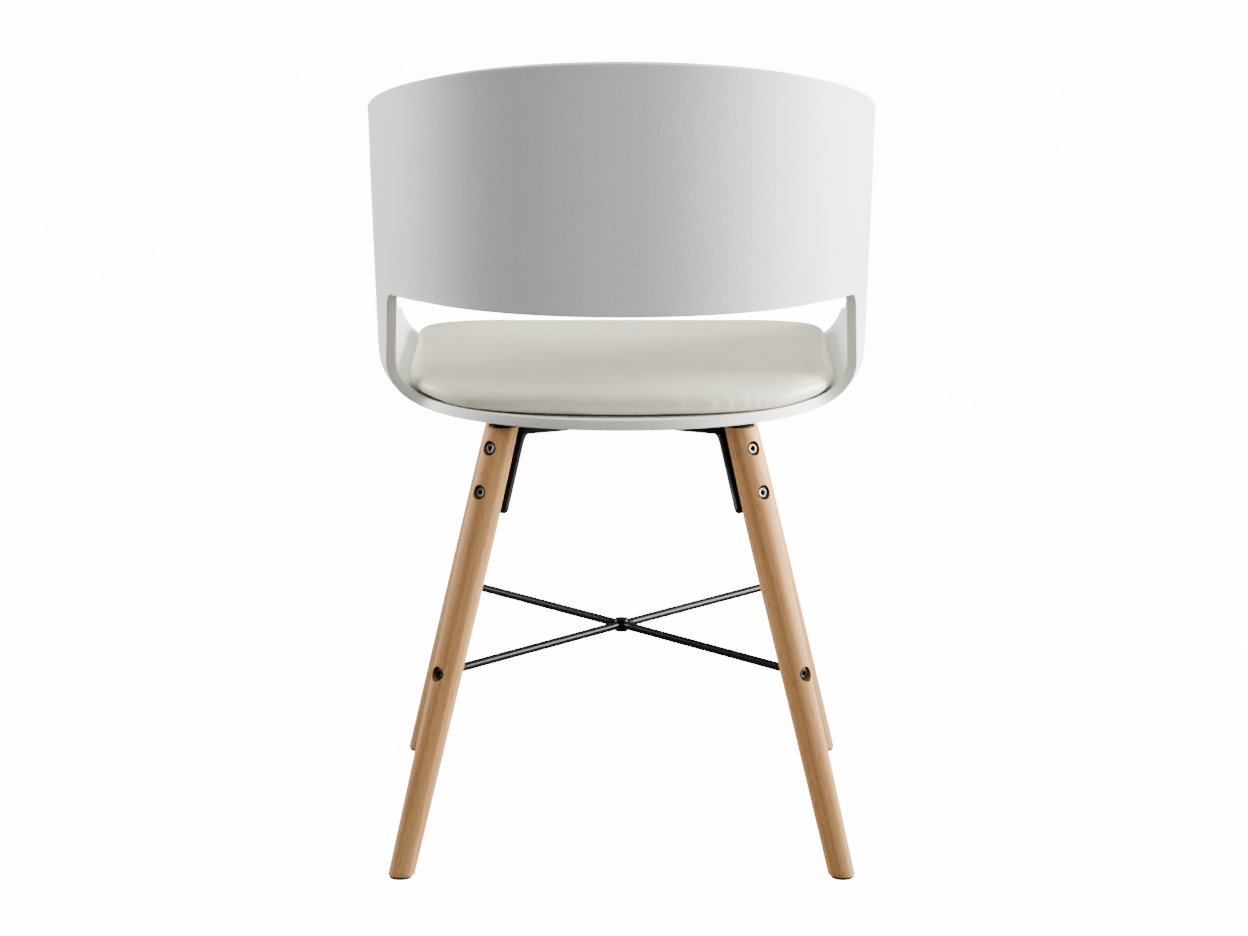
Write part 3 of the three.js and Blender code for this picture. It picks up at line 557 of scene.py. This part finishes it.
def socket_head(name, look, shank_radius, shank_end, seat, head_radius, head_height, socket):
    """Socket screw along X: its head sits on x = seat, its shank runs in to x = shank_end."""
    segments = 60
    turns = [2 * math.pi * i / segments for i in range(segments)]

    def circle(radius, z):
        return [(radius * math.cos(t), radius * math.sin(t), z) for t in turns]

    def hexagon(radius, z):
        ring = []
        for t in turns:
            off = (t % (math.pi / 3)) - math.pi / 6
            r = radius * math.cos(math.pi / 6) / math.cos(off)
            ring.append((r * math.cos(t), r * math.sin(t), z))
        return ring

    top = seat + head_height
    rings = [
        circle(shank_radius * 0.8, shank_end), circle(shank_radius, shank_end + 0.6),
        circle(shank_radius, seat - 0.05), circle(shank_radius + 0.1, seat),
        circle(head_radius - 0.3, seat), circle(head_radius, seat + 0.3),
        circle(head_radius, top - 1.1), circle(head_radius - 0.25, top - 0.55),
        circle(head_radius - 0.7, top - 0.12), circle(head_radius - 1.1, top),
        circle(socket + 0.55, top), circle(socket + 0.3, top - 0.08), hexagon(socket, top - 0.4),
        hexagon(socket, top - head_height * 0.6), circle(socket * 0.35, top - head_height * 0.72),
    ]
    screw = along_x(rings_mesh(name, rings))
    sharpen(screw, 32)
    screw.data.materials.append(LOOKS[look])
    screw.data.materials.append(LOOKS["socket"])
    # faces inside the hex socket take the near-black material: painted shade in the socket
    for face in screw.data.polygons:
        off_axis = math.hypot(face.center.y, face.center.z) / MM
        face.material_index = int(face.center.x / MM > seat + 0.4 and off_axis < socket + 0.1)
    return screw


def build_rod(name, reach):
    """Half of a brace rod, from its neck in the hub to its end in the leg."""
    neck, start, end = SPIGOT_RADIUS, HUB_RADIUS + 0.4, reach - ROD_INSERT
    profile = [(neck, SPIGOT_START), (neck, start - 0.05), (neck + 0.1, start), (ROD_RADIUS - 0.5, start),
               (ROD_RADIUS - 0.12, start + 0.25), (ROD_RADIUS, start + 0.8)]
    profile += [(ROD_RADIUS, start + 0.8 + (end - start - 1.6) * i / 24) for i in range(1, 25)]
    profile += [(ROD_RADIUS - 0.12, end - 0.3), (ROD_RADIUS - 0.5, end), (BRACE_BORE, end),
                (BRACE_BORE, end - BRACE_SCREW_LENGTH - 0.5)]
    rod = along_x(lathe(name, profile, 40))
    sharpen(rod, 40)
    return rod


def build_hub():
    half, r = HUB_HEIGHT / 2, HUB_RADIUS
    hub = lathe("brace_boss", [(r - 1.4, -half), (r - 0.4, -half + 0.25), (r, -half + 0.9),
                               (r, half - 0.9), (r - 0.4, half - 0.25), (r - 1.4, half)], 56)
    sharpen(hub, 50)
    hub.location = (0, 0, BRACE_Z * MM)
    return hub


def quad_curve(a, b, c, count=10):
    t = np.linspace(0, 1, count)[1:, None]
    a, b, c = (np.array(p, float) for p in (a, b, c))
    return [tuple(p) for p in (1 - t) ** 2 * a + 2 * (1 - t) * t * b + t ** 2 * c]


def plate_outline():
    """Fan-shaped plate with a round tongue over the leg; x runs outward from the leg axis."""
    neck, spread, end = FIN_WIDTH / 2, PLATE_SPREAD, PLATE_END
    points = arc(0, 0, TONGUE_RADIUS, -math.pi / 2, math.pi / 2, 32)
    points += [(-9, neck), (-44, spread)]
    points += quad_curve((-44, spread), (end + 1, spread + 6), (end, spread - 15))
    points += [(end, 15 - spread)]
    points += quad_curve((end, 15 - spread), (end + 1, -spread - 6), (-44, -spread))
    points += [(-9, -neck)]
    return points


def prism(name, outline, low, high):
    """Straight body over an outline in X and Y."""
    count = len(outline)
    vertices = [(x, y, low) for x, y in outline] + [(x, y, high) for x, y in outline]
    faces = [tuple(range(count))[::-1], tuple(range(count, 2 * count))]
    faces += [(i, (i + 1) % count, count + (i + 1) % count, count + i) for i in range(count)]
    piece = new_object(name, vertices, faces)
    fix_normals(piece)
    return piece


def plate_frame(sx, sy):
    heading = math.atan2(sy * math.cos(BRACKET_AZIMUTH), sx * math.sin(BRACKET_AZIMUTH))
    place = Matrix.Translation((sx * LEG_TOP_X * MM, sy * LEG_TOP_Y * MM, 0))
    return place @ Matrix.Rotation(heading, 4, "Z")


def carve(piece, tools, operation):
    """Cuts or joins the tools, then throws them away."""
    for tool in tools:
        modifier = piece.modifiers.new("carve", "BOOLEAN")
        modifier.operation = operation
        modifier.solver = "EXACT"
        modifier.object = tool
    apply_modifiers(piece)
    for tool in tools:
        bpy.data.objects.remove(tool)


def bevel(piece, width, degrees, segments):
    modifier = piece.modifiers.new("soften", "BEVEL")
    modifier.width = width * MM
    modifier.segments = segments
    modifier.limit_method = "ANGLE"
    modifier.angle_limit = math.radians(degrees)
    apply_modifiers(piece)


def build_bracket(name, sx, sy):
    """Plate under the seat, fin down the leg and the fillet between them, in one casting."""
    plate_top = SEAT_UNDERSIDE_Z - CLEARANCE
    plate_low = plate_top - PLATE_THICKNESS
    back = -FIN_SEAT_DEPTH - CLEARANCE
    face = back - FIN_THICKNESS
    half = FIN_WIDTH / 2
    leg_matrix = leg_frame(sx, sy)

    plate = prism("bracket_body_" + name, plate_outline(), plate_low, plate_top)
    plate.data.transform(plate_frame(sx, sy))

    room = prism("room", [(back, -40), (back + 60, -40), (back + 60, 40), (back, 40)], -130, 30)
    room.data.transform(leg_matrix)
    trim_above(room, plate_top - TONGUE_THICKNESS)

    low, turn = -FIN_LENGTH, FIN_CORNER
    outline = [(half, 20), (-half, 20), (-half, low + turn)]
    outline += quad_curve((-half, low + turn), (-half, low), (-half + turn, low))
    outline += [(half - turn, low)]
    outline += quad_curve((half - turn, low), (half, low), (half, low + turn))
    fin = prism("fin", outline, face, back)
    upright = Matrix(((0, 0, 1, 0), (1, 0, 0, 0), (0, 1, 0, 0), (0, 0, 0, 1)))
    fin.data.transform(leg_matrix @ upright)
    trim_above(fin, plate_top - PLATE_THICKNESS / 2)

    corner = [(face + 1, 12), (face + 1, -FILLET - 3.6), (face, -FILLET - 3.6)]
    corner += quad_curve((face, -FILLET - 3.6), (face, -2.9), (face - FILLET, -0.6), 14)
    corner += [(face - FILLET, 12)]
    fillet = prism("fillet", corner, -half, half)
    stood = Matrix(((1, 0, 0, 0), (0, 0, -1, 0), (0, 1, 0, 0), (0, 0, 0, 1)))
    fillet.data.transform(leg_matrix @ stood)
    trim_above(fillet, plate_top - PLATE_THICKNESS / 2)

    carve(plate, [room], "DIFFERENCE")
    carve(plate, [fin, fillet], "UNION")
    bores = []
    bore_radius = BOLT_RADIUS + CLEARANCE
    sunk = [(PLATE_RECESS_RADIUS, plate_low - 5), (PLATE_RECESS_RADIUS, plate_low + PLATE_SCREW_SINK)]
    for drop in BOLT_DROPS:
        bore = along_x(lathe("bore", [(bore_radius, -60), (bore_radius, 30)], 40))
        bore.data.transform(leg_matrix @ Matrix.Translation((0, 0, -drop * MM)))
        bores.append(bore)
    for along, across in PLATE_SCREWS:
        recess = lathe("recess", sunk, 40)
        recess.data.transform(plate_frame(sx, sy) @ Matrix.Translation((along * MM, across * MM, 0)))
        bores.append(recess)
    carve(plate, bores, "DIFFERENCE")
    bevel(plate, 0.8, 50, 3)
    sharpen(plate, 32)
    return plate


def build_glide(name, sx, sy):
    """Disc under the foot with a recess for its nail, up to the nail's shank."""
    rim, shank, recess, recess_top = GLIDE_RADIUS, 1.6, 3.1, 1.4
    profile = [(recess, recess_top), (recess, 0.15), (recess + 0.3, 0), (rim - 1.3, 0), (rim - 0.5, 0.2),
               (rim - 0.1, 0.8), (rim, 1.4), (rim, 2.7), (rim - 0.3, GLIDE_HEIGHT),
               (shank, GLIDE_HEIGHT), (shank, recess_top)]
    glide = lathe("glide_disc_" + name, profile, 56)
    sharpen(glide, 50)
    glide.location = leg_axis_at(sx, sy, 0) * MM
    return glide


# ---- cushion ----

CUSHION_PROFILE = (
    (150, 435.4), (100, 435.2), (60, 435.0), (44, 434.9), (22, 435.2), (10, 435.8), (5, 436.6),
    (2.2, 438.2), (0.5, 441.4), (0, 445.4), (0.6, 449.2), (2.2, 451.6), (4.6, 453.6), (8, 455.2),
    (13, 456.4), (20, 457.4), (34, 458.4), (60, 459.6), (90, 460.6), (125, 461.2), (160, 461.6),
)


def cushion_outline(turn):
    c, s = math.cos(turn), math.sin(turn)
    rear = s >= 0
    power = CUSHION_REAR_POWER if rear else CUSHION_FRONT_POWER
    x = CUSHION_HALF_WIDTH * math.copysign(abs(c) ** (2 / power), c)
    y = (CUSHION_REAR_Y if rear else CUSHION_FRONT_Y) * abs(s) ** (2 / power)
    flare = 0 if rear else CUSHION_FRONT_FLARE * y / CUSHION_FRONT_Y
    return x * (1 + flare), y


def cushion_edge(count):
    """Outline points at equal spacing all the way round."""
    fine = [cushion_outline(2 * math.pi * i / 6000) for i in range(6000)]
    return spaced(fine + [fine[0]], count)[:-1]


def seat_face_z(x, y):
    """Height of the shell's inside face under a spot of the seat."""
    swing = np.maximum(y - FAN_Y, 0)
    out = np.maximum(np.hypot(x, swing), 1)
    past = np.maximum(out - (wall_radius(x / out, swing / out) - BEND_RADIUS), 0)
    radius = BEND_RADIUS - SHELL_THICKNESS / 2
    angle = np.arcsin(np.minimum(past / radius, 0.95))
    return SEAT_MID_Z + SHELL_THICKNESS / 2 + radius * (1 - np.cos(angle)) + seat_rise(y)


def build_cushion():
    """Rings of the pad's outline, drawn in by each inset of the profile and kept off the shell."""
    edge = cushion_edge(260)
    reach = np.linalg.norm(edge, axis=1, keepdims=True)
    rings = []
    for inset, z in CUSHION_PROFILE:
        shrink = inset + CUSHION_GROW_ROOM
        flat = edge * np.maximum(reach - shrink, 0.5) / reach
        height = np.maximum(z + seat_rise(flat[:, 1]), seat_face_z(flat[:, 0], flat[:, 1]) + PAD_CONTACT)
        rings.append(np.concatenate([flat, height[:, None]], axis=1))
    pad = rings_mesh("cushion_pad", rings)
    swell(pad)
    smooth(pad)
    return pad


def evened(mesh, field, passes=60):
    """Averages a vector per vertex with its neighbours, so that no small ripples are left."""
    pairs = np.empty(len(mesh.edges) * 2, int)
    mesh.edges.foreach_get("vertices", pairs)
    first, second = pairs.reshape(-1, 2).T
    around = np.bincount(pairs, minlength=len(field)).reshape(-1, 1)
    for _ in range(passes):
        total = np.zeros_like(field)
        np.add.at(total, first, field[second])
        np.add.at(total, second, field[first])
        field = 0.4 * field + 0.6 * total / around
    return field


def swell(pad):
    """Blows the pad up as cloth under pressure, held at its underside."""
    remesh = pad.modifiers.new("remesh", "REMESH")
    remesh.mode = "VOXEL"
    remesh.voxel_size = PAD_VOXEL * MM
    apply_modifiers(pad)
    count = len(pad.data.vertices)
    start = np.empty(count * 3)
    pad.data.vertices.foreach_get("co", start)
    start = start.reshape(-1, 3)
    low = (PAD_HELD_BELOW + seat_rise(start[:, 1] / MM)) * MM
    held = pad.vertex_groups.new(name="held")
    for index in np.nonzero(start[:, 2] < low)[0]:
        held.add([int(index)], 1.0, "REPLACE")
    cloth = pad.modifiers.new("cloth", "CLOTH")
    settings = cloth.settings
    settings.use_pressure = True
    settings.uniform_pressure_force = 4
    settings.effector_weights.gravity = 0
    settings.vertex_group_mass = "held"
    settings.mass = 0.3
    settings.tension_stiffness = 15
    settings.compression_stiffness = 15
    settings.bending_stiffness = 0.6
    cloth.collision_settings.use_self_collision = False
    frames = 20
    cloth.point_cache.frame_start = 1
    cloth.point_cache.frame_end = frames
    scene = bpy.context.scene
    for step in range(1, frames + 1):
        scene.frame_set(step)
    graph = bpy.context.evaluated_depsgraph_get()
    result = bpy.data.meshes.new_from_object(pad.evaluated_get(graph))
    moved = np.empty(count * 3)
    result.vertices.foreach_get("co", moved)
    moved = moved.reshape(-1, 3)
    pad.modifiers.clear()
    pad.data = result
    scene.frame_set(1)
    shift = moved - start
    from_middle = np.linalg.norm(start[:, :2], axis=1, keepdims=True)
    outward = start[:, :2] / np.maximum(from_middle, 1e-6)
    inward = np.minimum((shift[:, :2] * outward).sum(axis=1, keepdims=True), 0)
    shift[:, :2] -= inward * outward
    size = np.linalg.norm(shift, axis=1, keepdims=True)
    shift *= np.minimum(1, PAD_SWELL * MM / np.maximum(size, 1e-9))
    final = start + evened(result, shift)
    floor_z = seat_face_z(final[:, 0] / MM, final[:, 1] / MM) + PAD_CONTACT
    final[:, 2] = np.maximum(final[:, 2], floor_z * MM)
    pad.data.vertices.foreach_set("co", final.ravel())
    pad.data.update()
    soften = pad.modifiers.new("soften", "SMOOTH")
    soften.factor = 0.4
    soften.iterations = 2
    finer = pad.modifiers.new("finer", "SUBSURF")
    finer.levels = 1
    finer.render_levels = 1
    apply_modifiers(pad)


# ---- materials ----

def material(name):
    look = bpy.data.materials.new(name)
    look.use_nodes = True
    look.node_tree.nodes.clear()
    out = look.node_tree.nodes.new("ShaderNodeOutputMaterial")
    shader = look.node_tree.nodes.new("ShaderNodeBsdfPrincipled")
    look.node_tree.links.new(shader.outputs["BSDF"], out.inputs["Surface"])
    return look, shader


def add(look, kind, **values):
    node = look.node_tree.nodes.new(kind)
    for key, value in values.items():
        setattr(node, key, value)
    return node


def link(look, a, b):
    look.node_tree.links.new(a, b)


def coords(look, scale=(1, 1, 1)):
    where = add(look, "ShaderNodeTexCoord")
    mapping = add(look, "ShaderNodeMapping")
    mapping.inputs["Scale"].default_value = scale
    link(look, where.outputs["Object"], mapping.inputs["Vector"])
    return mapping.outputs["Vector"]


def noise(look, vector, scale, detail=4, roughness=0.5):
    node = add(look, "ShaderNodeTexNoise")
    node.inputs["Scale"].default_value = scale
    node.inputs["Detail"].default_value = detail
    node.inputs["Roughness"].default_value = roughness
    link(look, vector, node.inputs["Vector"])
    return node.outputs["Fac"]


def ramp(look, fac, stops):
    node = add(look, "ShaderNodeValToRGB")
    band = node.color_ramp
    while len(band.elements) < len(stops):
        band.elements.new(0.5)
    for element, (place, colour) in zip(band.elements, stops):
        element.position = place
        element.color = (*colour, 1)
    link(look, fac, node.inputs["Fac"])
    return node.outputs["Color"]


def math_node(look, kind, a, b):
    node = add(look, "ShaderNodeMath", operation=kind)
    for index, value in enumerate((a, b)):
        if isinstance(value, (int, float)):
            node.inputs[index].default_value = value
        else:
            link(look, value, node.inputs[index])
    return node.outputs[0]


def bump(look, shader, height, strength, distance, below=None):
    node = add(look, "ShaderNodeBump")
    node.inputs["Strength"].default_value = strength
    node.inputs["Distance"].default_value = distance
    link(look, height, node.inputs["Height"])
    if below is not None:
        link(look, below, node.inputs["Normal"])
    link(look, node.outputs["Normal"], shader.inputs["Normal"])
    return node.outputs["Normal"]


def grey(value):
    return (value, value, value)


def shell_material(name, low, high):
    look, shader = material(name)
    where = coords(look)
    cells = add(look, "ShaderNodeTexVoronoi", feature="DISTANCE_TO_EDGE")
    cells.inputs["Scale"].default_value = 470
    wobble = noise(look, where, 300, 2)
    link(look, where, cells.inputs["Vector"])
    pebble = math_node(look, "MINIMUM", cells.outputs["Distance"], 0.32)
    height = math_node(look, "ADD", pebble, math_node(look, "MULTIPLY", wobble, 0.12))
    bump(look, shader, height, 0.38, 0.0008)
    tone = noise(look, where, 5, 3)
    link(look, ramp(look, tone, [(0.3, low), (0.7, high)]),
         shader.inputs["Base Color"])
    rough = ramp(look, noise(look, where, 40, 5), [(0.3, grey(0.46)), (0.7, grey(0.58))])
    link(look, rough, shader.inputs["Roughness"])
    shader.inputs["IOR"].default_value = 1.47
    return look


def cushion_material():
    look, shader = material("cushion_leatherette")
    where = coords(look)
    cells = add(look, "ShaderNodeTexVoronoi", feature="DISTANCE_TO_EDGE")
    cells.inputs["Scale"].default_value = 900
    link(look, where, cells.inputs["Vector"])
    creases = noise(look, where, 22, 5, 0.6)
    fine = math_node(look, "MULTIPLY", math_node(look, "MINIMUM", cells.outputs["Distance"], 0.3), 0.5)
    under = bump(look, shader, fine, 0.25, 0.0005)
    bump(look, shader, creases, 0.12, 0.003, under)
    tone = noise(look, where, 9, 4)
    link(look, ramp(look, tone, [(0.3, (0.64, 0.612, 0.465)), (0.7, (0.69, 0.662, 0.515))]),
         shader.inputs["Base Color"])
    link(look, ramp(look, noise(look, where, 60, 4), [(0.3, grey(0.38)), (0.7, grey(0.5))]),
         shader.inputs["Roughness"])
    shader.inputs["IOR"].default_value = 1.46
    shader.inputs["Coat Weight"].default_value = 0.12
    shader.inputs["Coat Roughness"].default_value = 0.35
    return look


def beech_material(name, depth):
    """Lacquered beech; depth darkens it, as painted shade on the walls of the recesses and holes."""
    look, shader = material(name)
    where = coords(look)
    rings_at = coords(look, (1, 1, 0.035))
    warp = noise(look, rings_at, 55, 3, 0.55)
    bands = add(look, "ShaderNodeTexWave", wave_type="BANDS", bands_direction="X")
    bands.inputs["Scale"].default_value = 42
    bands.inputs["Distortion"].default_value = 9
    bands.inputs["Detail"].default_value = 3
    bands.inputs["Detail Scale"].default_value = 1.6
    link(look, rings_at, bands.inputs["Vector"])
    mixed = math_node(look, "ADD", math_node(look, "MULTIPLY", bands.outputs["Fac"], 0.45),
                      math_node(look, "MULTIPLY", warp, 0.55))
    tones = ((0.3, (0.485, 0.244, 0.094)), (0.55, (0.555, 0.290, 0.116)), (0.8, (0.605, 0.325, 0.133)))
    base = ramp(look, mixed, [(place, tuple(c * depth for c in tone)) for place, tone in tones])
    flecks_at = coords(look, (1, 1, 0.11))
    flecks = noise(look, flecks_at, 900, 2, 0.5)
    fleck = ramp(look, flecks, [(0.60, grey(0)), (0.68, grey(1))])
    darker = add(look, "ShaderNodeMix", data_type="RGBA", blend_type="MULTIPLY")
    link(look, math_node(look, "MULTIPLY", fleck, 0.42), darker.inputs["Factor"])
    link(look, base, darker.inputs[6])
    darker.inputs[7].default_value = (0.42, 0.30, 0.20, 1)
    fibres_at = coords(look, (1, 1, 0.02))
    fibre = noise(look, fibres_at, 700, 3, 0.6)
    streak = add(look, "ShaderNodeMix", data_type="RGBA", blend_type="OVERLAY")
    streak.inputs["Factor"].default_value = 0.28
    link(look, darker.outputs[2], streak.inputs[6])
    link(look, ramp(look, fibre, [(0.3, grey(0.36)), (0.7, grey(0.64))]), streak.inputs[7])
    link(look, streak.outputs[2], shader.inputs["Base Color"])
    link(look, ramp(look, noise(look, where, 120, 4), [(0.3, grey(0.5)), (0.7, grey(0.62))]),
         shader.inputs["Roughness"])
    pores = math_node(look, "MULTIPLY", fleck, 0.4)
    bump(look, shader, math_node(look, "SUBTRACT", fibre, pores), 0.18, 0.0004)
    shader.inputs["Specular IOR Level"].default_value = 0.04
    return look


def metal_material(name, colour, rough, metallic, grain_scale, strength, shine=0.5):
    look, shader = material(name)
    where = coords(look)
    grain = noise(look, where, grain_scale, 4, 0.6)
    low, high = rough
    link(look, ramp(look, grain, [(0.3, grey(low)), (0.7, grey(high))]), shader.inputs["Roughness"])
    tone = noise(look, where, 60, 3)
    dark = tuple(c * 0.85 for c in colour)
    light = tuple(min(c * 1.12, 1) for c in colour)
    link(look, ramp(look, tone, [(0.3, dark), (0.7, light)]), shader.inputs["Base Color"])
    bump(look, shader, grain, strength, 0.0003)
    shader.inputs["Metallic"].default_value = metallic
    shader.inputs["Specular IOR Level"].default_value = shine
    return look


def plywood_material():
    look, shader = material("plywood")
    where = coords(look, (1, 0.06, 1))
    fibre = noise(look, where, 260, 4, 0.6)
    link(look, ramp(look, fibre, [(0.3, (0.38, 0.23, 0.11)), (0.7, (0.58, 0.39, 0.21))]),
         shader.inputs["Base Color"])
    shader.inputs["Roughness"].default_value = 0.75
    bump(look, shader, fibre, 0.25, 0.0005)
    return look


LOOKS = {
    "shell": shell_material("shell_plastic", (0.745, 0.742, 0.714), (0.78, 0.777, 0.75)),
    # darker, warmer copy of the shell plastic for the opening's lip: painted shade
    "shell_edge_painted_shade": shell_material("shell_edge_painted_shade", (0.71, 0.695, 0.635), (0.74, 0.725, 0.665)),
    "cushion": cushion_material(),
    "beech": beech_material("beech", 1.0),
    # beech at 0.3 of its colour: painted shade for the walls of recesses and holes
    "beech_cut_painted_shade": beech_material("beech_cut_painted_shade", 0.3),
    "cast": metal_material("bracket_black", (0.008, 0.0075, 0.007), (0.42, 0.6), 0.0, 700, 0.5, 0.12),
    "rod": metal_material("rod_black", (0.006, 0.006, 0.006), (0.18, 0.24), 0.0, 300, 0.03, 0.07),
    "bolt": metal_material("bolt_nickel", (0.24, 0.235, 0.225), (0.36, 0.5), 1.0, 900, 0.12),
    "bolt_dark": metal_material("bolt_black", (0.012, 0.012, 0.012), (0.35, 0.5), 0.5, 900, 0.12),
    # near-black for the inside of the screw sockets: painted shade
    "socket": metal_material("socket_painted_shade", (0.006, 0.006, 0.006), (0.6, 0.7), 0.0, 900, 0.12, 0.1),
    "zinc": metal_material("screw_zinc", (0.6, 0.61, 0.63), (0.25, 0.4), 1.0, 900, 0.12),
    "glide": metal_material("glide_dark", (0.035, 0.027, 0.02), (0.5, 0.7), 0.0, 600, 0.3),
    "board": plywood_material(),
}


def dress(piece, look, slot, *nodes):
    """Gives a piece its look, unless it has one, hangs it under the root and hides the CAD nodes it stands
    for.
    """
    if look:
        piece.data.materials.clear()
        piece.data.materials.append(LOOKS[look])
    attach(piece, "root")
    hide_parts(*nodes)


def dress_node(name, look):
    """Gives a CAD node that stays in view its material."""
    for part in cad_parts[name].material_slots:
        part.link = "OBJECT"
        part.material = LOOKS[look]


# ---- assembly ----

dress(build_shell(), None, "shell", "seat_shell")

cushion = build_cushion()
dress(cushion, "cushion", "cushion", "cushion_cover", "cushion_foam")

for name, sx, sy in STATIONS:
    dress(build_leg(name, sx, sy), None, "beech", "leg_" + name)
    leg_matrix = leg_frame(sx, sy)
    for index, drop in enumerate(BOLT_DROPS):
        bolt = socket_head(f"bolt_{name}_{index + 1}", "bolt", BOLT_RADIUS, BOLT_END,
                           COUNTERBORE_FLOOR + CLEARANCE, BOLT_HEAD_RADIUS, BOLT_HEAD_HEIGHT, BOLT_SOCKET)
        bolt.matrix_world = leg_matrix @ Matrix.Translation((0, 0, -drop * MM))
        dress(bolt, None, "bolt_steel", f"leg_bolt_{name}_{index + 1}")
    brace_matrix = brace_frame(sx, sy)
    screw_end = -ROD_INSERT - BRACE_SCREW_LENGTH
    screw = socket_head("brace_bolt_" + name, "bolt_dark", BRACE_SCREW_RADIUS, screw_end,
                        BRACE_RECESS_FLOOR + CLEARANCE, BRACE_HEAD_RADIUS, BRACE_HEAD_HEIGHT, BRACE_SOCKET)
    screw.matrix_world = brace_matrix
    dress(screw, None, "bolt_steel", "brace_screw_" + name)
    reach = math.hypot(*leg_axis_at(sx, sy, BRACE_Z).xy)
    rod = build_rod("rod_" + name, reach)
    flat = brace_matrix.copy()
    flat.translation = (0, 0, BRACE_Z * MM)
    rod.matrix_world = flat
    dress(rod, "rod", "black_metal", "brace_rod_" + name)
    dress(build_glide(name, sx, sy), "glide", "glide", "glide_" + name)
    dress(build_bracket(name, sx, sy), "cast", "black_metal", "bracket_" + name)
    dress_node("glide_nail_" + name, "zinc")
    for index in range(len(PLATE_SCREWS)):
        dress_node(f"bracket_screw_{name}_{index + 1}", "zinc")

dress(build_hub(), "rod", "black_metal", "brace_hub")
dress_node("cushion_board", "board")
for index in range(4):
    dress_node(f"cushion_screw_{index + 1}", "zinc")


# ---- floor, light and camera ----

def seen_by_camera(tree, hidden, shown):
    """Shows one shader to the camera and another to every other ray."""
    path = tree.nodes.new("ShaderNodeLightPath")
    mixer = tree.nodes.new("ShaderNodeMixShader")
    tree.links.new(path.outputs["Is Camera Ray"], mixer.inputs[0])
    tree.links.new(hidden, mixer.inputs[1])
    tree.links.new(shown, mixer.inputs[2])
    return mixer.outputs[0]


def build_stage():
    size = FLOOR_SIZE
    corners = [(-size, -size, 0), (size, -size, 0), (size, size, 0), (-size, size, 0)]
    floor = new_object("floor", corners, [(0, 1, 2, 3)], 1)
    look = bpy.data.materials.new("floor_pale")
    look.use_nodes = True
    tree = look.node_tree
    tree.nodes.clear()
    out = tree.nodes.new("ShaderNodeOutputMaterial")
    dull = tree.nodes.new("ShaderNodeBsdfDiffuse")
    dull.inputs["Color"].default_value = (*grey(FLOOR_BOUNCE), 1)
    pale = tree.nodes.new("ShaderNodeBsdfDiffuse")
    pale.inputs["Color"].default_value = (0.9, 0.9, 0.9, 1)
    glow = tree.nodes.new("ShaderNodeEmission")
    glow.inputs["Strength"].default_value = FLOOR_GLOW
    both = tree.nodes.new("ShaderNodeAddShader")
    tree.links.new(pale.outputs[0], both.inputs[0])
    tree.links.new(glow.outputs[0], both.inputs[1])
    tree.links.new(seen_by_camera(tree, dull.outputs[0], both.outputs[0]), out.inputs["Surface"])
    floor.data.materials.append(look)


def area_light(name, place, target, size, power):
    data = bpy.data.lights.new(name, "AREA")
    data.shape = "RECTANGLE"
    data.size, data.size_y = size
    data.energy = power
    lamp = bpy.data.objects.new(name, data)
    bpy.context.scene.collection.objects.link(lamp)
    lamp.location = place
    aim = Vector(target) - Vector(place)
    lamp.rotation_euler = aim.to_track_quat("-Z", "Y").to_euler()
    lamp.visible_camera = False


def build_flag(name, start, end):
    """Dark card that keeps a side light off the legs; the camera doesn't see it."""
    reach, height = FLAG_REACH, FLAG_HEIGHT
    corners = [(start, -reach, height), (end, -reach, height), (end, reach, height), (start, reach, height)]
    card = new_object(name, corners, [(0, 1, 2, 3)], 1)
    look, shader = material(name + "_black")
    shader.inputs["Base Color"].default_value = (0.02, 0.02, 0.02, 1)
    shader.inputs["Roughness"].default_value = 1.0
    card.data.materials.append(look)
    card.visible_camera = False
    card.visible_diffuse = False
    card.visible_glossy = False


def build_top_light():
    """Wide overhead light, as from a ceiling bank."""
    top = bpy.data.objects.new("top", bpy.data.lights.new("top", "SUN"))
    top.data.energy = 3.6
    top.data.angle = math.radians(110)
    bpy.context.scene.collection.objects.link(top)


def build_world():
    world = bpy.data.worlds.new("studio")
    world.use_nodes = True
    tree = world.node_tree
    tree.nodes.clear()
    backgrounds = []
    for strength in (SKY_LIGHT, SKY_SHOWN):
        node = tree.nodes.new("ShaderNodeBackground")
        node.inputs["Strength"].default_value = strength
        node.inputs["Color"].default_value = (1, 1, 1, 1)
        backgrounds.append(node.outputs[0])
    out = tree.nodes.new("ShaderNodeOutputWorld")
    tree.links.new(seen_by_camera(tree, *backgrounds), out.inputs["Surface"])
    bpy.context.scene.world = world


def build_camera():
    data = bpy.data.cameras.new("camera")
    data.sensor_width = CAMERA_SENSOR
    data.lens = CAMERA_LENS
    data.shift_x = CAMERA_SHIFT
    camera = bpy.data.objects.new("camera", data)
    bpy.context.scene.collection.objects.link(camera)
    camera.location = (0, CAMERA_DISTANCE, CAMERA_HEIGHT)
    camera.rotation_euler = (math.pi / 2 - CAMERA_PITCH, 0, math.pi)
    bpy.context.scene.camera = camera


build_stage()
build_flag("flag_right", -FLAG_FAR, -FLAG_NEAR)
build_flag("flag_left", FLAG_FAR, FLAG_NEAR)
middle = (0, 0, 0.5)
area_light("key_right", (-2.6, -0.5, 0.75), middle, (1.3, 1.7), 560)
area_light("soft_right", (-2.1, 1.6, 1.2), middle, (1.6, 1.6), 44)
area_light("rim_left", (2.5, -1.0, 0.8), middle, (1.0, 1.7), 170)
build_top_light()
build_world()
build_camera()
